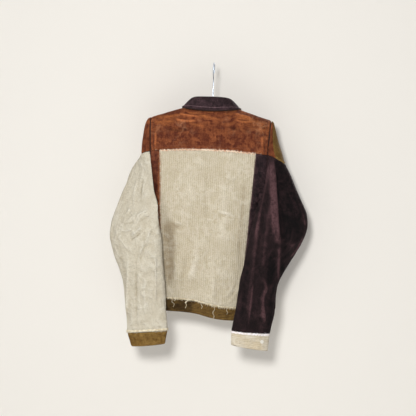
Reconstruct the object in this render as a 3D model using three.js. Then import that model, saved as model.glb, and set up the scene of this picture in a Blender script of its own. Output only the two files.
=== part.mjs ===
// Patchwork corduroy jacket hanging on a clothes hanger.
// Millimetres, +Z up. The origin is the inside top of the hanger's hook, where a rail carries it.
// The wearer would face +Y, so the jacket's back faces -Y and the wearer's right side is +X.
import * as THREE from 'three';
import { ParametricGeometry } from 'three/addons/geometries/ParametricGeometry.js';
import { mergeVertices } from 'three/addons/utils/BufferGeometryUtils.js';

const { lerp, smoothstep, degToRad } = THREE.MathUtils;

// ---- Driving dimensions ----
const CLOTH = 2; // corduroy with its seam allowances
const SEAM_GAP = 0.4;
const HALF_GAP = SEAM_GAP / 2;
const CURVED_GAP = 0.8; // at each side of a seam whose two pieces are cut in different steps

const SLEEVE_GAP = 1.9; // between the armhole's edge and the sleeve sewn to it
const SLEEVE_SEAM_GAP = 1.5; // between a sleeve cap's slanting lower edge and the sleeve
const HUNG_ASIDE = -3; // how far the cloth has slid along the hanger

// Shoulder line: the crest that lies on the hanger, as a hyperbola that falls away from the neck.
const CREST_TOP = -115;
const CREST_FALL = 0.33;
const CREST_ROUND = 30;

// Body: superelliptic level sections.
const SHOULDER_DROP = 62; // height in which the cloth turns from lying to hanging
const BODY_SQUARENESS = 2.6;
const CHEST_HALF_WIDTH = 205;
const UNDERARM_HALF_WIDTH = 196;
const HEM_HALF_WIDTH = 213;
const BACK_DEPTH_TOP = 58;
const BACK_DEPTH_HEM = 64;
const FRONT_DEPTH_TOP = 50;
const FRONT_DEPTH_HEM = 56;

// Armhole: a loop on the body's surface, cut in equal steps that its neighbours share.
const ARMHOLE_STEPS = 32;
const ARMHOLE_TOP_X = 180;
const ARMHOLE_MIDDLE_X = 174;
const UNDERARM = -418.4;
const SEAM_STEP = 7; // step at which the yoke seam meets the armhole
const SHOULDER_SEAM_STEP = -2; // step at which the shoulder seam meets it, in front of the crest

// Neck
const NECK_HALF_WIDTH = 80;
const NECK_SIDE_ARC = -9.7; // how far in front of the crest the neckline starts
const NECK_BACK_ARC = 46;
const NECK_FRONT_ARC = -116;

// Back panels
const YOKE_CENTRE = -257;
const YOKE_SIDE_FALL = 10;
const PANEL_LEFT_TOP = -146;
const PANEL_LEFT_HEM = -128;
const PANEL_RIGHT_TOP = 141;
const PANEL_RIGHT_HEM = 110;

// Waistband and hem
const BAND_HEIGHT = 38;
const HEM_HEIGHT = -750;
const HEM_WAVE = 10;
const HEM_WAVE_AT = 8;
const HEM_WAVE_LENGTH = 40;
const HEM_RIGHT_LIFT = 9;
const FRONT_OVERLAP = 12;
const UNDERLAP_DEPTH = CLOTH + 0.6;
const UNDERLAP_EASE = 24;

// Collar
const COLLAR_STEPS = 26;
const COLLAR_END_TURN = 170;
const FOLD_HEIGHT = -100;
const FOLD_FRONT_FALL = 56;
const FOLD_NARROWING = 0.8;
const STAND_FOOT_GAP = 1.6;
const STAND_TOP_GAP = 1;
const STAND_SET_BACK = 2.8;
const FALL_REACH_BACK = 17;
const FALL_REACH_SIDE = 26;
const FALL_REACH_FRONT = 20;
const FALL_DROP_BACK = 40;
const FALL_DROP_SIDE = 21;
const FALL_DROP_FRONT = 56;
const FALL_CLEARANCE = 5.6;

// Hanger
const WIRE = 3.4;
const HOOK_INNER_RADIUS = 19;
const HANGER_HALF_WIDTH = 170;
const HANGER_THICKNESS = 13;
const HANGER_DEPTH = 34;
const HANGER_CLEARANCE = 5.5;
const HANGER_TAPER = 0.5;
const HANGER_NOSE = 6;
const HOOK_TIP_ANGLE = -22.5;
const HOOK_NECK_ANGLE = 225;

const BUTTON_RADIUS = 8.5;
const BUTTON_THICKNESS = 3;
const SMALL_BUTTON_RADIUS = 5;
const BUTTON_LIFT = 0.6; // the thread shank under it
const FRONT_BUTTONS = 5;
const FIRST_BUTTON = -232;
const LAST_BUTTON = -660;
const CUFF_BUTTON_TURN = 0.14; // part of a turn from the cuff's outer fold

// ---- Finishes ----
function finish(color, roughness, metalness = 0) {
  return new THREE.MeshStandardMaterial({ color, roughness, metalness });
}

const rust = finish(0x6e3420, 0.95);
const darkRust = finish(0x4a1f14, 0.95);
const cream = finish(0xd3c9ae, 0.95);
const plum = finish(0x241a1e, 0.9);
const collarPlum = finish(0x2e2126, 0.9);
const olive = finish(0x7d5c22, 0.95);
const ecru = finish(0xdcd0b8, 0.95);
const steel = finish(0x9aa3aa, 0.3, 1);
const beech = finish(0xb98f5e, 0.6);
const horn = finish(0x4b3a2c, 0.5);
const shell = finish(0xe6e2d8, 0.4);

// ---- Cloth helper ----
// A wall of even thickness whose outer face is the surface, with closed rims. A wrapped wall is a tube.
function clothWall(surface, across, down, wrapped = false, thickness = CLOTH) {
  const face = new ParametricGeometry(surface, across, down);
  const place = face.getAttribute('position');
  const normal = face.getAttribute('normal');
  const columns = across + 1;
  const corners = [];
  for (const depth of [0, thickness]) {
    for (let i = 0; i < place.count; i++) {
      corners.push(place.getX(i) - normal.getX(i) * depth);
      corners.push(place.getY(i) - normal.getY(i) * depth);
      corners.push(place.getZ(i) - normal.getZ(i) * depth);
    }
  }
  const outer = (row, column) => row * columns + (wrapped ? column % across : column);
  const inner = (row, column) => outer(row, column) + place.count;
  const faces = [];
  const quad = (a, b, c, d) => faces.push(a, b, d, b, c, d);
  for (let row = 0; row < down; row++) {
    for (let column = 0; column < across; column++) {
      quad(outer(row, column), outer(row, column + 1), outer(row + 1, column + 1), outer(row + 1, column));
      quad(inner(row, column), inner(row + 1, column), inner(row + 1, column + 1), inner(row, column + 1));
    }
  }
  for (let column = 0; column < across; column++) {
    quad(inner(0, column), inner(0, column + 1), outer(0, column + 1), outer(0, column));
    quad(outer(down, column), outer(down, column + 1), inner(down, column + 1), inner(down, column));
  }
  for (let row = 0; row < down && !wrapped; row++) {
    quad(inner(row, 0), outer(row, 0), outer(row + 1, 0), inner(row + 1, 0));
    quad(outer(row, across), inner(row, across), inner(row + 1, across), outer(row + 1, across));
  }
  const wall = new THREE.BufferGeometry();
  wall.setAttribute('position', new THREE.Float32BufferAttribute(corners, 3));
  wall.setIndex(faces);
  return mergeVertices(wall, 1e-4);
}

const jacket = new THREE.Group();
const cloth = new THREE.Group(); // everything sewn, which hangs a little to one side of the hook
cloth.position.x = HUNG_ASIDE;
jacket.add(cloth);

function addPiece(name, geometry, material, group = cloth) {
  const mesh = new THREE.Mesh(geometry, material);
  mesh.name = name;
  group.add(mesh);
  return mesh;
}

// ---- The body's form ----
function crest(x) {
  return CREST_TOP - CREST_FALL * (Math.hypot(x, CREST_ROUND) - CREST_ROUND);
}

function halfWidth(z) {
  const chest = (CHEST_HALF_WIDTH - UNDERARM_HALF_WIDTH) * smoothstep(z, UNDERARM, -300);
  const below = Math.max(0, (UNDERARM - z) / (UNDERARM - HEM_HEIGHT));
  const flare = (HEM_HALF_WIDTH - UNDERARM_HALF_WIDTH) * below;
  return UNDERARM_HALF_WIDTH + chest + flare;
}

function depth(z, back) {
  const fall = smoothstep(-z, 250, 700);
  return back ? lerp(BACK_DEPTH_TOP, BACK_DEPTH_HEM, fall) : lerp(FRONT_DEPTH_TOP, FRONT_DEPTH_HEM, fall);
}

function rounding(part) {
  return (1 - Math.min(1, Math.abs(part)) ** BODY_SQUARENESS) ** (1 / BODY_SQUARENESS);
}

// A point on the body. arc runs over the crest, from negative in front to positive behind.
// width is the body's half width there, where a side seam sets it instead of the height.
const TURN_ARC = SHOULDER_DROP * Math.PI / 2;

function bodyPoint(x, arc, width = 0) {
  const along = Math.abs(arc);
  const turn = Math.min(along / SHOULDER_DROP, Math.PI / 2);
  const z = crest(x) - SHOULDER_DROP * (1 - Math.cos(turn)) - Math.max(0, along - TURN_ARC);
  const reach = depth(z, arc > 0) * rounding(x / (width || halfWidth(z))) * Math.sin(turn);
  return new THREE.Vector3(x, arc > 0 ? -reach : reach, z);
}

// The arc at which the body reaches a height.
function arcAt(x, z) {
  const drop = crest(x) - z;
  if (drop < SHOULDER_DROP) {
    return SHOULDER_DROP * Math.acos(1 - Math.max(0, drop) / SHOULDER_DROP);
  }
  return TURN_ARC + drop - SHOULDER_DROP;
}

// The height of the shoulder's cloth, grown by a clearance, at a place in plan. It is nothing past its reach.
function bodyTop(x, y, clearance) {
  const top = crest(x);
  const reach = depth(top, y < 0) * rounding(x / CHEST_HALF_WIDTH) + clearance;
  const part = Math.abs(y) / reach;
  const drop = SHOULDER_DROP + clearance;
  return part < 1 ? top + clearance - drop * (1 - Math.sqrt(1 - part * part)) : -Infinity;
}

function hemBack(x) {
  const wave = HEM_WAVE * Math.tanh((x - HEM_WAVE_AT) / HEM_WAVE_LENGTH);
  return HEM_HEIGHT - wave + HEM_RIGHT_LIFT * smoothstep(x, 120, HEM_HALF_WIDTH);
}

function hemFront(x) {
  const part = x / HEM_HALF_WIDTH;
  return lerp(hemBack(-HEM_HALF_WIDTH), hemBack(HEM_HALF_WIDTH), (part + 1) / 2) - 4 * (1 - part * part);
}

function yokeSeam(x) {
  return YOKE_CENTRE - YOKE_SIDE_FALL * (x / ARMHOLE_MIDDLE_X) ** 2;
}

// ---- Armhole ----
// step 0 is the top, steps up to 16 run down the back to the underarm, and negative steps down the front.
const ARMHOLE_TOP = crest(ARMHOLE_TOP_X);
const ARMHOLE_CENTRE = (ARMHOLE_TOP + UNDERARM) / 2;
const ARMHOLE_HALF = (ARMHOLE_TOP - UNDERARM) / 2;

function armhole(step) {
  const angle = step * 2 * Math.PI / ARMHOLE_STEPS;
  const behind = Math.sin(angle) >= 0;
  const z = ARMHOLE_CENTRE + ARMHOLE_HALF * Math.cos(angle);
  const side = Math.abs(Math.sin(angle));
  if (Math.cos(angle) > 0) {
    const x = lerp(ARMHOLE_MIDDLE_X, ARMHOLE_TOP_X, Math.cos(angle) ** 2);
    return bodyPoint(x, behind ? arcAt(x, z) : -arcAt(x, z));
  }
  const middle = rounding(ARMHOLE_MIDDLE_X / halfWidth(ARMHOLE_CENTRE));
  const x = halfWidth(z) * rounding(middle * side);
  const reach = depth(z, behind) * middle * side;
  return new THREE.Vector3(x, behind ? -reach : reach, z);
}

// ---- Yoke ----
// Columns are closer together round the neck, where its top edge is the neckline.
const YOKE_NECK_COLUMNS = 10;
const YOKE_SHOULDER_COLUMNS = 4;
const YOKE_COLUMNS = YOKE_NECK_COLUMNS + 2 * YOKE_SHOULDER_COLUMNS;
const YOKE_ROWS = SEAM_STEP - SHOULDER_SEAM_STEP;

function neckArc(turn) {
  const forward = Math.cos(turn);
  return forward > 0
    ? lerp(NECK_SIDE_ARC, NECK_BACK_ARC, forward)
    : lerp(NECK_SIDE_ARC, NECK_FRONT_ARC, (-forward) ** 1.3);
}

function shoulderSeamArc(x) {
  const part = (Math.abs(x) - NECK_HALF_WIDTH) / (ARMHOLE_TOP_X - NECK_HALF_WIDTH);
  const end = armhole(SHOULDER_SEAM_STEP);
  return lerp(NECK_SIDE_ARC, -arcAt(end.x, end.z), part);
}

function yoke(u, v, target) {
  const column = u * YOKE_COLUMNS - YOKE_COLUMNS / 2;
  const half = YOKE_NECK_COLUMNS / 2;
  const turn = Math.min(Math.abs(column) / half, 1) * Math.PI / 2;
  const outside = Math.max(0, Math.abs(column) - half) / YOKE_SHOULDER_COLUMNS;
  const side = -Math.sign(column);
  const edge = armhole(lerp(SHOULDER_SEAM_STEP, SEAM_STEP, v));
  const reach = lerp(NECK_HALF_WIDTH * Math.sin(turn), ARMHOLE_TOP_X, outside) / ARMHOLE_TOP_X;
  const x = side * reach * (edge.x - HALF_GAP);
  const top = outside > 0 ? shoulderSeamArc(reach * ARMHOLE_TOP_X) : neckArc(turn);
  const bottom = arcAt(x, yokeSeam(x)) - HALF_GAP;
  const first = armhole(SHOULDER_SEAM_STEP);
  const last = armhole(SEAM_STEP);
  const start = -arcAt(first.x, first.z);
  const now = edge.y > 0 ? -arcAt(edge.x, edge.z) : arcAt(edge.x, edge.z);
  const part = (now - start) / (arcAt(last.x, last.z) - start);
  target.copy(bodyPoint(x, lerp(top + HALF_GAP, bottom, part)));
}

addPiece('back_yoke', clothWall(yoke, YOKE_COLUMNS, YOKE_ROWS), rust);

// ---- Back panel and side strips ----
function panelEdge(z, right) {
  const part = (YOKE_CENTRE - z) / (YOKE_CENTRE - HEM_HEIGHT);
  return right ? lerp(PANEL_RIGHT_TOP, PANEL_RIGHT_HEM, part) : lerp(PANEL_LEFT_TOP, PANEL_LEFT_HEM, part);
}

// Side rows follow the armhole's steps down to the underarm, then even steps down to the band.
const ARMHOLE_ROWS = ARMHOLE_STEPS / 2 - SEAM_STEP;
const LOWER_ROWS = 6;
const BACK_ROWS = ARMHOLE_ROWS + LOWER_ROWS;

function rowHeight(x, v) {
  return lerp(yokeSeam(x) - HALF_GAP, hemBack(x) + BAND_HEIGHT + CURVED_GAP, v);
}

function panelRowEdge(v, right) {
  return panelEdge(lerp(YOKE_CENTRE, HEM_HEIGHT + BAND_HEIGHT, v), right);
}

function backPanel(u, v, target) {
  const x = lerp(panelRowEdge(v, true) - HALF_GAP, panelRowEdge(v, false) + HALF_GAP, u);
  const z = rowHeight(x, v);
  target.copy(bodyPoint(x, arcAt(x, z)));
}

addPiece('back_panel', clothWall(backPanel, 12, BACK_ROWS), cream);

// A strip runs from the back panel to the armhole, and below the armhole to the side seam.

function sideEdge(row, armholeRows, bottom, step) {
  if (row <= armholeRows) {
    return armhole(step(row));
  }
  const z = lerp(UNDERARM, bottom, (row - armholeRows) / LOWER_ROWS);
  return new THREE.Vector3(halfWidth(z), 0, z);
}

// Equal steps of the turn round the side keep the cells even where the cloth rounds away.
function turnedX(inner, outer, width, part) {
  const power = BODY_SQUARENESS / 2;
  const first = Math.asin(Math.min(1, inner / width) ** power);
  const last = Math.asin(Math.min(1, outer / width) ** power);
  return width * Math.sin(lerp(first, last, part)) ** (1 / power);
}

function strip(side) {
  const right = side > 0;
  const bottom = hemBack(side * HEM_HALF_WIDTH) + BAND_HEIGHT + CURVED_GAP;
  return (u, v, target) => {
    const across = right ? 1 - u : u;
    const edge = sideEdge(v * BACK_ROWS, ARMHOLE_ROWS, bottom, (row) => SEAM_STEP + row);
    const inner = side * panelRowEdge(v, right) + HALF_GAP;
    const width = halfWidth(edge.z);
    const x = turnedX(inner, edge.x, width, across);
    const top = v === 0 ? HALF_GAP : 0;
    const sag = rowHeight(side * x, 1) - lerp(rowHeight(side * inner, 1), bottom, across);
    const z = lerp(rowHeight(side * inner, v), edge.z - top, across) + sag * v ** 4;
    target.set(side * x, -lerp(CURVED_GAP, depth(z, true), rounding(x / width)), z);
  };
}

addPiece('back_side_left', clothWall(strip(-1), 6, BACK_ROWS), darkRust);
addPiece('back_side_right', clothWall(strip(1), 6, BACK_ROWS), plum);

// ---- Fronts ----
// The left front laps over the right one, so the right one steps in by a cloth's depth at the middle.
const FRONT_ARMHOLE_ROWS = ARMHOLE_STEPS / 2 + SHOULDER_SEAM_STEP;
const FRONT_ROWS = FRONT_ARMHOLE_ROWS + LOWER_ROWS;
const FRONT_NECK_COLUMNS = 5;
const FRONT_SHOULDER_COLUMNS = 5;
const FRONT_COLUMNS = FRONT_NECK_COLUMNS + FRONT_SHOULDER_COLUMNS;

function underlap(x) {
  return UNDERLAP_DEPTH * (1 - smoothstep(x, FRONT_OVERLAP + 2, FRONT_OVERLAP + UNDERLAP_EASE));
}

function front(side) {
  const bottom = hemBack(side * HEM_HALF_WIDTH) + BAND_HEIGHT + CURVED_GAP;
  const first = armhole(SHOULDER_SEAM_STEP);
  const firstArc = arcAt(first.x, first.z) + CURVED_GAP;
  const lastArc = arcAt(halfWidth(bottom), bottom);
  return (u, v, target) => {
    const column = (side > 0 ? u : 1 - u) * FRONT_COLUMNS;
    const neckPart = Math.sin(Math.min(1, column / FRONT_NECK_COLUMNS) * Math.PI / 2);
    const beyond = Math.max(0, column - FRONT_NECK_COLUMNS) / FRONT_SHOULDER_COLUMNS;
    const outside = Math.sin(beyond * Math.PI / 2);
    const neckX = lerp(-FRONT_OVERLAP, NECK_HALF_WIDTH, neckPart);
    const topX = lerp(neckX, first.x, outside);
    const neckTurn = Math.PI - Math.asin(Math.abs(neckX) / NECK_HALF_WIDTH);
    const topArc = outside > 0 ? shoulderSeamArc(topX) : neckArc(neckTurn);
    const edge = sideEdge(v * FRONT_ROWS, FRONT_ARMHOLE_ROWS, bottom, (row) => SHOULDER_SEAM_STEP - row);
    const x = edge.x * topX / first.x;
    const part = Math.max(0, (arcAt(edge.x, edge.z) - firstArc) / (lastArc - firstArc));
    const bottomArc = arcAt(x, hemFront(side * x) + BAND_HEIGHT + CURVED_GAP);
    const width = halfWidth(edge.z);
    const point = bodyPoint(x, lerp(topArc - CURVED_GAP, -bottomArc, part), width);
    const sideGap = CURVED_GAP * (1 - rounding(x / width));
    const under = side > 0 ? underlap(x) : 0;
    target.set(side * point.x, point.y + sideGap - under, point.z);
  };
}

addPiece('front_left', clothWall(front(-1), FRONT_COLUMNS, FRONT_ROWS), darkRust);
addPiece('front_right', clothWall(front(1), FRONT_COLUMNS, FRONT_ROWS), plum);

// ---- Waistband ----
// One strip from the end beneath at the middle front, round the right side and the back, to the lapped end.
const BAND_COLUMNS = 40;

function band(u, v, target) {
  const power = 2 / BODY_SQUARENESS;
  const lapTurn = Math.asin((FRONT_OVERLAP / HEM_HALF_WIDTH) ** (1 / power));
  const turn = lerp(2 * Math.PI + lapTurn, -lapTurn, u);
  const sine = Math.sin(turn);
  const cosine = Math.cos(turn);
  const across = -Math.sign(sine) * Math.abs(sine) ** power;
  const hem = (cosine < 0 ? hemBack : hemFront)(across * HEM_HALF_WIDTH);
  const z = lerp(hem + BAND_HEIGHT - CURVED_GAP, hem, v);
  const x = across * halfWidth(z);
  const under = u < 0.5 && cosine > 0 ? underlap(x) : 0;
  const reach = depth(z, cosine < 0) * Math.abs(cosine) ** power;
  target.set(x, Math.sign(cosine) * reach - under, z);
}

addPiece('waistband', clothWall(band, BAND_COLUMNS, 2), olive);

// ---- Collar ----
// turn is 0 at the middle back and grows to each end at the front.
function neckPoint(turn) {
  return bodyPoint(NECK_HALF_WIDTH * Math.sin(turn), neckArc(turn));
}

function foldPoint(turn) {
  const neck = neckPoint(turn);
  const round = (1 - Math.cos(turn)) / 2;
  return new THREE.Vector3(neck.x * FOLD_NARROWING, neck.y - 3, FOLD_HEIGHT - FOLD_FRONT_FALL * round ** 2);
}

function collarTurn(u) {
  return degToRad(lerp(COLLAR_END_TURN, -COLLAR_END_TURN, u));
}

function collarStand(u, v, target) {
  const turn = collarTurn(u);
  const foot = neckPoint(turn);
  foot.z += STAND_FOOT_GAP;
  const top = foldPoint(turn);
  top.x -= STAND_SET_BACK * Math.sin(turn);
  top.y += STAND_SET_BACK * Math.cos(turn);
  top.z -= STAND_TOP_GAP;
  target.lerpVectors(top, foot, v);
}

function collarFall(u, v, target) {
  const turn = collarTurn(u);
  const fold = foldPoint(turn);
  const forward = Math.cos(turn);
  const atBack = Math.max(0, forward);
  const atFront = Math.max(0, -forward);
  const reach = FALL_REACH_SIDE + (FALL_REACH_BACK - FALL_REACH_SIDE) * atBack
    + (FALL_REACH_FRONT - FALL_REACH_SIDE) * atFront;
  const drop = FALL_DROP_SIDE + (FALL_DROP_BACK - FALL_DROP_SIDE) * atBack
    + (FALL_DROP_FRONT - FALL_DROP_SIDE) * atFront ** 2.2;
  const x = fold.x + Math.sin(turn) * reach * v;
  const y = fold.y - forward * reach * v;
  target.set(x, y, Math.max(fold.z - drop * v ** 1.35, bodyTop(x, y, FALL_CLEARANCE)));
}

addPiece('collar_stand', clothWall(collarStand, COLLAR_STEPS, 2), collarPlum);
addPiece('collar_fall', clothWall(collarFall, COLLAR_STEPS, 4), collarPlum);

// ---- Sleeves ----
// Sleeves are worked out on the wearer's right and mirrored for the left.
// The cap is the part above the yoke seam's level. seamLoop is where it ends on the sleeve.
function capSeam(step, shape) {
  const part = step / SEAM_STEP;
  const end = armhole(Math.sign(part) * SEAM_STEP);
  const turn = Math.abs(part) * Math.PI / 2;
  const out = Math.cos(turn);
  const fullness = shape.capFullness * Math.sin(2 * turn);
  return new THREE.Vector3(
    lerp(end.x, shape.capOuter[0], out) + fullness * 0.4,
    end.y * Math.sin(turn) * (1 + 0.1 * out) + Math.sign(part) * -fullness,
    lerp(end.z, shape.capOuter[1], out ** 1.4),
  );
}

// A cap surface from its armhole edge down to its seam. Its sides are given as the armhole step and
// the seam step where each begins and ends, so a patch in the cap may have a slanting side.
function cap(side, shape, first, last) {
  return (u, v, target) => {
    const across = side > 0 ? u : 1 - u;
    const onArmhole = lerp(first.armhole, last.armhole, across);
    const top = armhole(onArmhole);
    const seam = capSeam(lerp(first.seam, last.seam, across), shape);
    const middle = Math.cos(onArmhole * 2 * Math.PI / ARMHOLE_STEPS) ** 2;
    const fall = (top.z - seam.z) * 0.45;
    const around = onArmhole * Math.PI / (2 * SEAM_STEP);
    const out = shape.capSpread * middle;
    const sideways = out * Math.cos(around);
    const backwards = out * Math.sin(around) * 0.6;
    const away = new THREE.Vector3(top.x + sideways, top.y - backwards, top.z - 0.25 * out);
    const low = new THREE.Vector3(seam.x - shape.capFlare * fall * middle, seam.y, seam.z + fall);
    const point = new THREE.CubicBezierCurve3(top, away, low, seam).getPoint(v);
    const splitGap = across === 0 ? -first.gap : across === 1 ? last.gap : 0;
    target.set(side * (point.x + SLEEVE_GAP), point.y + splitGap, point.z);
  };
}

// The loops are levels down the sleeve: outer and inner fold, and the reach of its back and front.
function sleeveLoop(level, angle) {
  const outer = new THREE.Vector3(...level.outer);
  const inner = new THREE.Vector3(...level.inner);
  const middle = outer.clone().add(inner).multiplyScalar(0.5);
  const half = outer.clone().sub(inner).multiplyScalar(0.5);
  const swell = Math.sin(angle) > 0 ? level.back : level.front;
  const sine = Math.abs(Math.sin(angle));
  const out = new THREE.Vector3(swell[0] * sine, swell[1] * sine, 0);
  return middle.addScaledVector(half, Math.cos(angle)).add(out);
}

function sleeveTop(step, shape) {
  const wrapped = step > ARMHOLE_STEPS / 2 ? step - ARMHOLE_STEPS : step;
  return Math.abs(wrapped) <= SEAM_STEP ? capSeam(wrapped, shape) : armhole(wrapped);
}

const SLEEVE_ROWS = 11;

function sleeve(side, shape) {
  return (u, v, target) => {
    const step = (side > 0 ? u : 1 - u) * ARMHOLE_STEPS;
    const angle = step * 2 * Math.PI / ARMHOLE_STEPS;
    const top = sleeveTop(step, shape);
    top.z -= SLEEVE_SEAM_GAP;
    const path = new THREE.CatmullRomCurve3([top, ...shape.levels.map((level) => sleeveLoop(level, angle))]);
    const point = path.getPoint(v);
    target.set(side * (point.x + SLEEVE_GAP * (1 - v)), point.y, point.z);
  };
}

function cuff(side, shape) {
  return (u, v, target) => {
    const angle = (side > 0 ? u : 1 - u) * 2 * Math.PI;
    const top = sleeveLoop(shape.levels.at(-1), angle);
    top.z -= 2 * CURVED_GAP;
    const bottom = sleeveLoop(shape.cuff, angle);
    const point = top.lerp(bottom, v);
    target.set(side * point.x, point.y, point.z);
  };
}

const rightShape = {
  capOuter: [224, -290],
  capSpread: 14,
  capFlare: 0.42,
  capFullness: 3,
  levels: [
    { outer: [240, -5, -325], inner: [197, -30, -426], back: [-52, -48], front: [18, 50] },
    { outer: [268, -12, -385], inner: [176, -52, -442], back: [-60, -46], front: [20, 45] },
    { outer: [292, -18, -440], inner: [150, -72, -470], back: [-40, -40], front: [25, 40] },
    { outer: [297, -22, -480], inner: [134, -82, -505], back: [-15, -36], front: [15, 36] },
    { outer: [284, -30, -525], inner: [126, -86, -545], back: [-8, -34], front: [10, 32] },
    { outer: [253, -42, -580], inner: [119, -88, -590], back: [-5, -32], front: [5, 28] },
    { outer: [222, -58, -645], inner: [110, -90, -645], back: [-2, -28], front: [3, 24] },
    { outer: [216, -66, -716], inner: [102, -90, -712], back: [0, -25], front: [0, 20] },
    { outer: [203, -72, -790], inner: [92, -90, -784], back: [0, -20], front: [0, 17] },
  ],
  cuff: { outer: [200, -74, -841], inner: [92, -90, -826], back: [0, -19], front: [0, 16] },
};

const leftShape = {
  capOuter: [204, -277],
  capSpread: 22,
  capFlare: 0.05,
  capFullness: 3,
  levels: [
    { outer: [230, -5, -325], inner: [197, -30, -426], back: [-58, -48], front: [18, 50] },
    { outer: [250, -12, -385], inner: [172, -52, -442], back: [-60, -46], front: [20, 45] },
    { outer: [270, -18, -440], inner: [148, -72, -468], back: [-42, -40], front: [25, 40] },
    { outer: [288, -22, -492], inner: [131, -80, -500], back: [-15, -36], front: [15, 36] },
    { outer: [286, -28, -535], inner: [124, -84, -545], back: [-8, -34], front: [10, 32] },
    { outer: [268, -38, -590], inner: [118, -87, -598], back: [-5, -32], front: [5, 28] },
    { outer: [242, -52, -656], inner: [111, -89, -660], back: [-2, -28], front: [3, 24] },
    { outer: [227, -64, -735], inner: [104, -90, -728], back: [0, -25], front: [0, 20] },
    { outer: [218, -72, -808], inner: [97, -92, -792], back: [0, -20], front: [0, 17] },
  ],
  cuff: { outer: [206, -74, -849], inner: [103, -92, -833], back: [0, -19], front: [0, 16] },
};

const capFront = { armhole: 1 - SEAM_STEP, seam: -SEAM_STEP, gap: 0 };
const capBack = { armhole: SEAM_STEP - 1, seam: SEAM_STEP, gap: 0 };
const patchSide = { armhole: 1, seam: 5, gap: CURVED_GAP / 2 };

addPiece('sleeve_cap_left', clothWall(cap(-1, leftShape, capFront, capBack), 12, 5), rust);
addPiece('sleeve_left', clothWall(sleeve(-1, leftShape), ARMHOLE_STEPS, SLEEVE_ROWS, true), cream);
addPiece('cuff_left', clothWall(cuff(-1, leftShape), ARMHOLE_STEPS, 1, true), olive);

addPiece('sleeve_cap_right_patch', clothWall(cap(1, rightShape, capFront, patchSide), 12, 5), olive);
addPiece('sleeve_cap_right', clothWall(cap(1, rightShape, patchSide, capBack), 5, 5), rust);
addPiece('sleeve_right', clothWall(sleeve(1, rightShape), ARMHOLE_STEPS, SLEEVE_ROWS, true), plum);
addPiece('cuff_right', clothWall(cuff(1, rightShape), ARMHOLE_STEPS, 1, true), ecru);

// ---- Buttons ----
function addButton(name, radius, place, facing, material) {
  const disc = new THREE.CylinderGeometry(radius, radius * 0.9, BUTTON_THICKNESS, 16);
  const button = addPiece(name, disc, material);
  button.position.copy(place).addScaledVector(facing, BUTTON_THICKNESS / 2 + BUTTON_LIFT);
  button.quaternion.setFromUnitVectors(new THREE.Vector3(0, -1, 0), facing);
  return button;
}

const forward = new THREE.Vector3(0, 1, 0);
for (let i = 0; i < FRONT_BUTTONS; i++) {
  const z = lerp(FIRST_BUTTON, LAST_BUTTON, i / (FRONT_BUTTONS - 1));
  addButton(`front_button_${i + 1}`, BUTTON_RADIUS, new THREE.Vector3(0, depth(z, false), z), forward, horn);
}
const bandButton = hemFront(0) + BAND_HEIGHT / 2;
const bandPlace = new THREE.Vector3(0, depth(bandButton, false), bandButton);
addButton('waistband_button', BUTTON_RADIUS, bandPlace, forward, horn);

const cuffSurface = cuff(1, rightShape);
const cuffPlace = new THREE.Vector3();
const besideCuff = new THREE.Vector3();
const belowCuff = new THREE.Vector3();
cuffSurface(CUFF_BUTTON_TURN, 0.45, cuffPlace);
cuffSurface(CUFF_BUTTON_TURN + 0.01, 0.45, besideCuff);
cuffSurface(CUFF_BUTTON_TURN, 0.55, belowCuff);
const cuffFacing = besideCuff.sub(cuffPlace).cross(belowCuff.sub(cuffPlace)).normalize();
addButton('cuff_button_right', SMALL_BUTTON_RADIUS, cuffPlace, cuffFacing, shell);

// ---- Hanger ----
const crestLine = (x) => crest(x) - HANGER_CLEARANCE;
const outline = new THREE.Shape();
const HANGER_STEPS = 12;
outline.moveTo(-HANGER_HALF_WIDTH, crestLine(HANGER_HALF_WIDTH));
for (let i = 1; i <= HANGER_STEPS; i++) {
  const x = lerp(-HANGER_HALF_WIDTH, HANGER_HALF_WIDTH, i / HANGER_STEPS);
  outline.lineTo(x, crestLine(x));
}
const endDepth = HANGER_DEPTH * HANGER_TAPER;
outline.quadraticCurveTo(
  HANGER_HALF_WIDTH + HANGER_NOSE,
  crestLine(HANGER_HALF_WIDTH) - endDepth / 2,
  HANGER_HALF_WIDTH,
  crestLine(HANGER_HALF_WIDTH) - endDepth,
);
for (let i = 1; i <= HANGER_STEPS; i++) {
  const x = lerp(HANGER_HALF_WIDTH, -HANGER_HALF_WIDTH, i / HANGER_STEPS);
  outline.lineTo(x, crestLine(x) - lerp(HANGER_DEPTH, endDepth, (x / HANGER_HALF_WIDTH) ** 2));
}
outline.quadraticCurveTo(
  -HANGER_HALF_WIDTH - HANGER_NOSE,
  crestLine(HANGER_HALF_WIDTH) - endDepth / 2,
  -HANGER_HALF_WIDTH,
  crestLine(HANGER_HALF_WIDTH),
);
const flat = { depth: HANGER_THICKNESS, bevelEnabled: false, curveSegments: 5 };
const board = new THREE.ExtrudeGeometry(outline, flat);
const hanger = addPiece('hanger_body', board, beech, jacket);
hanger.rotation.x = Math.PI / 2;
hanger.position.y = HANGER_THICKNESS / 2;

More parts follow.
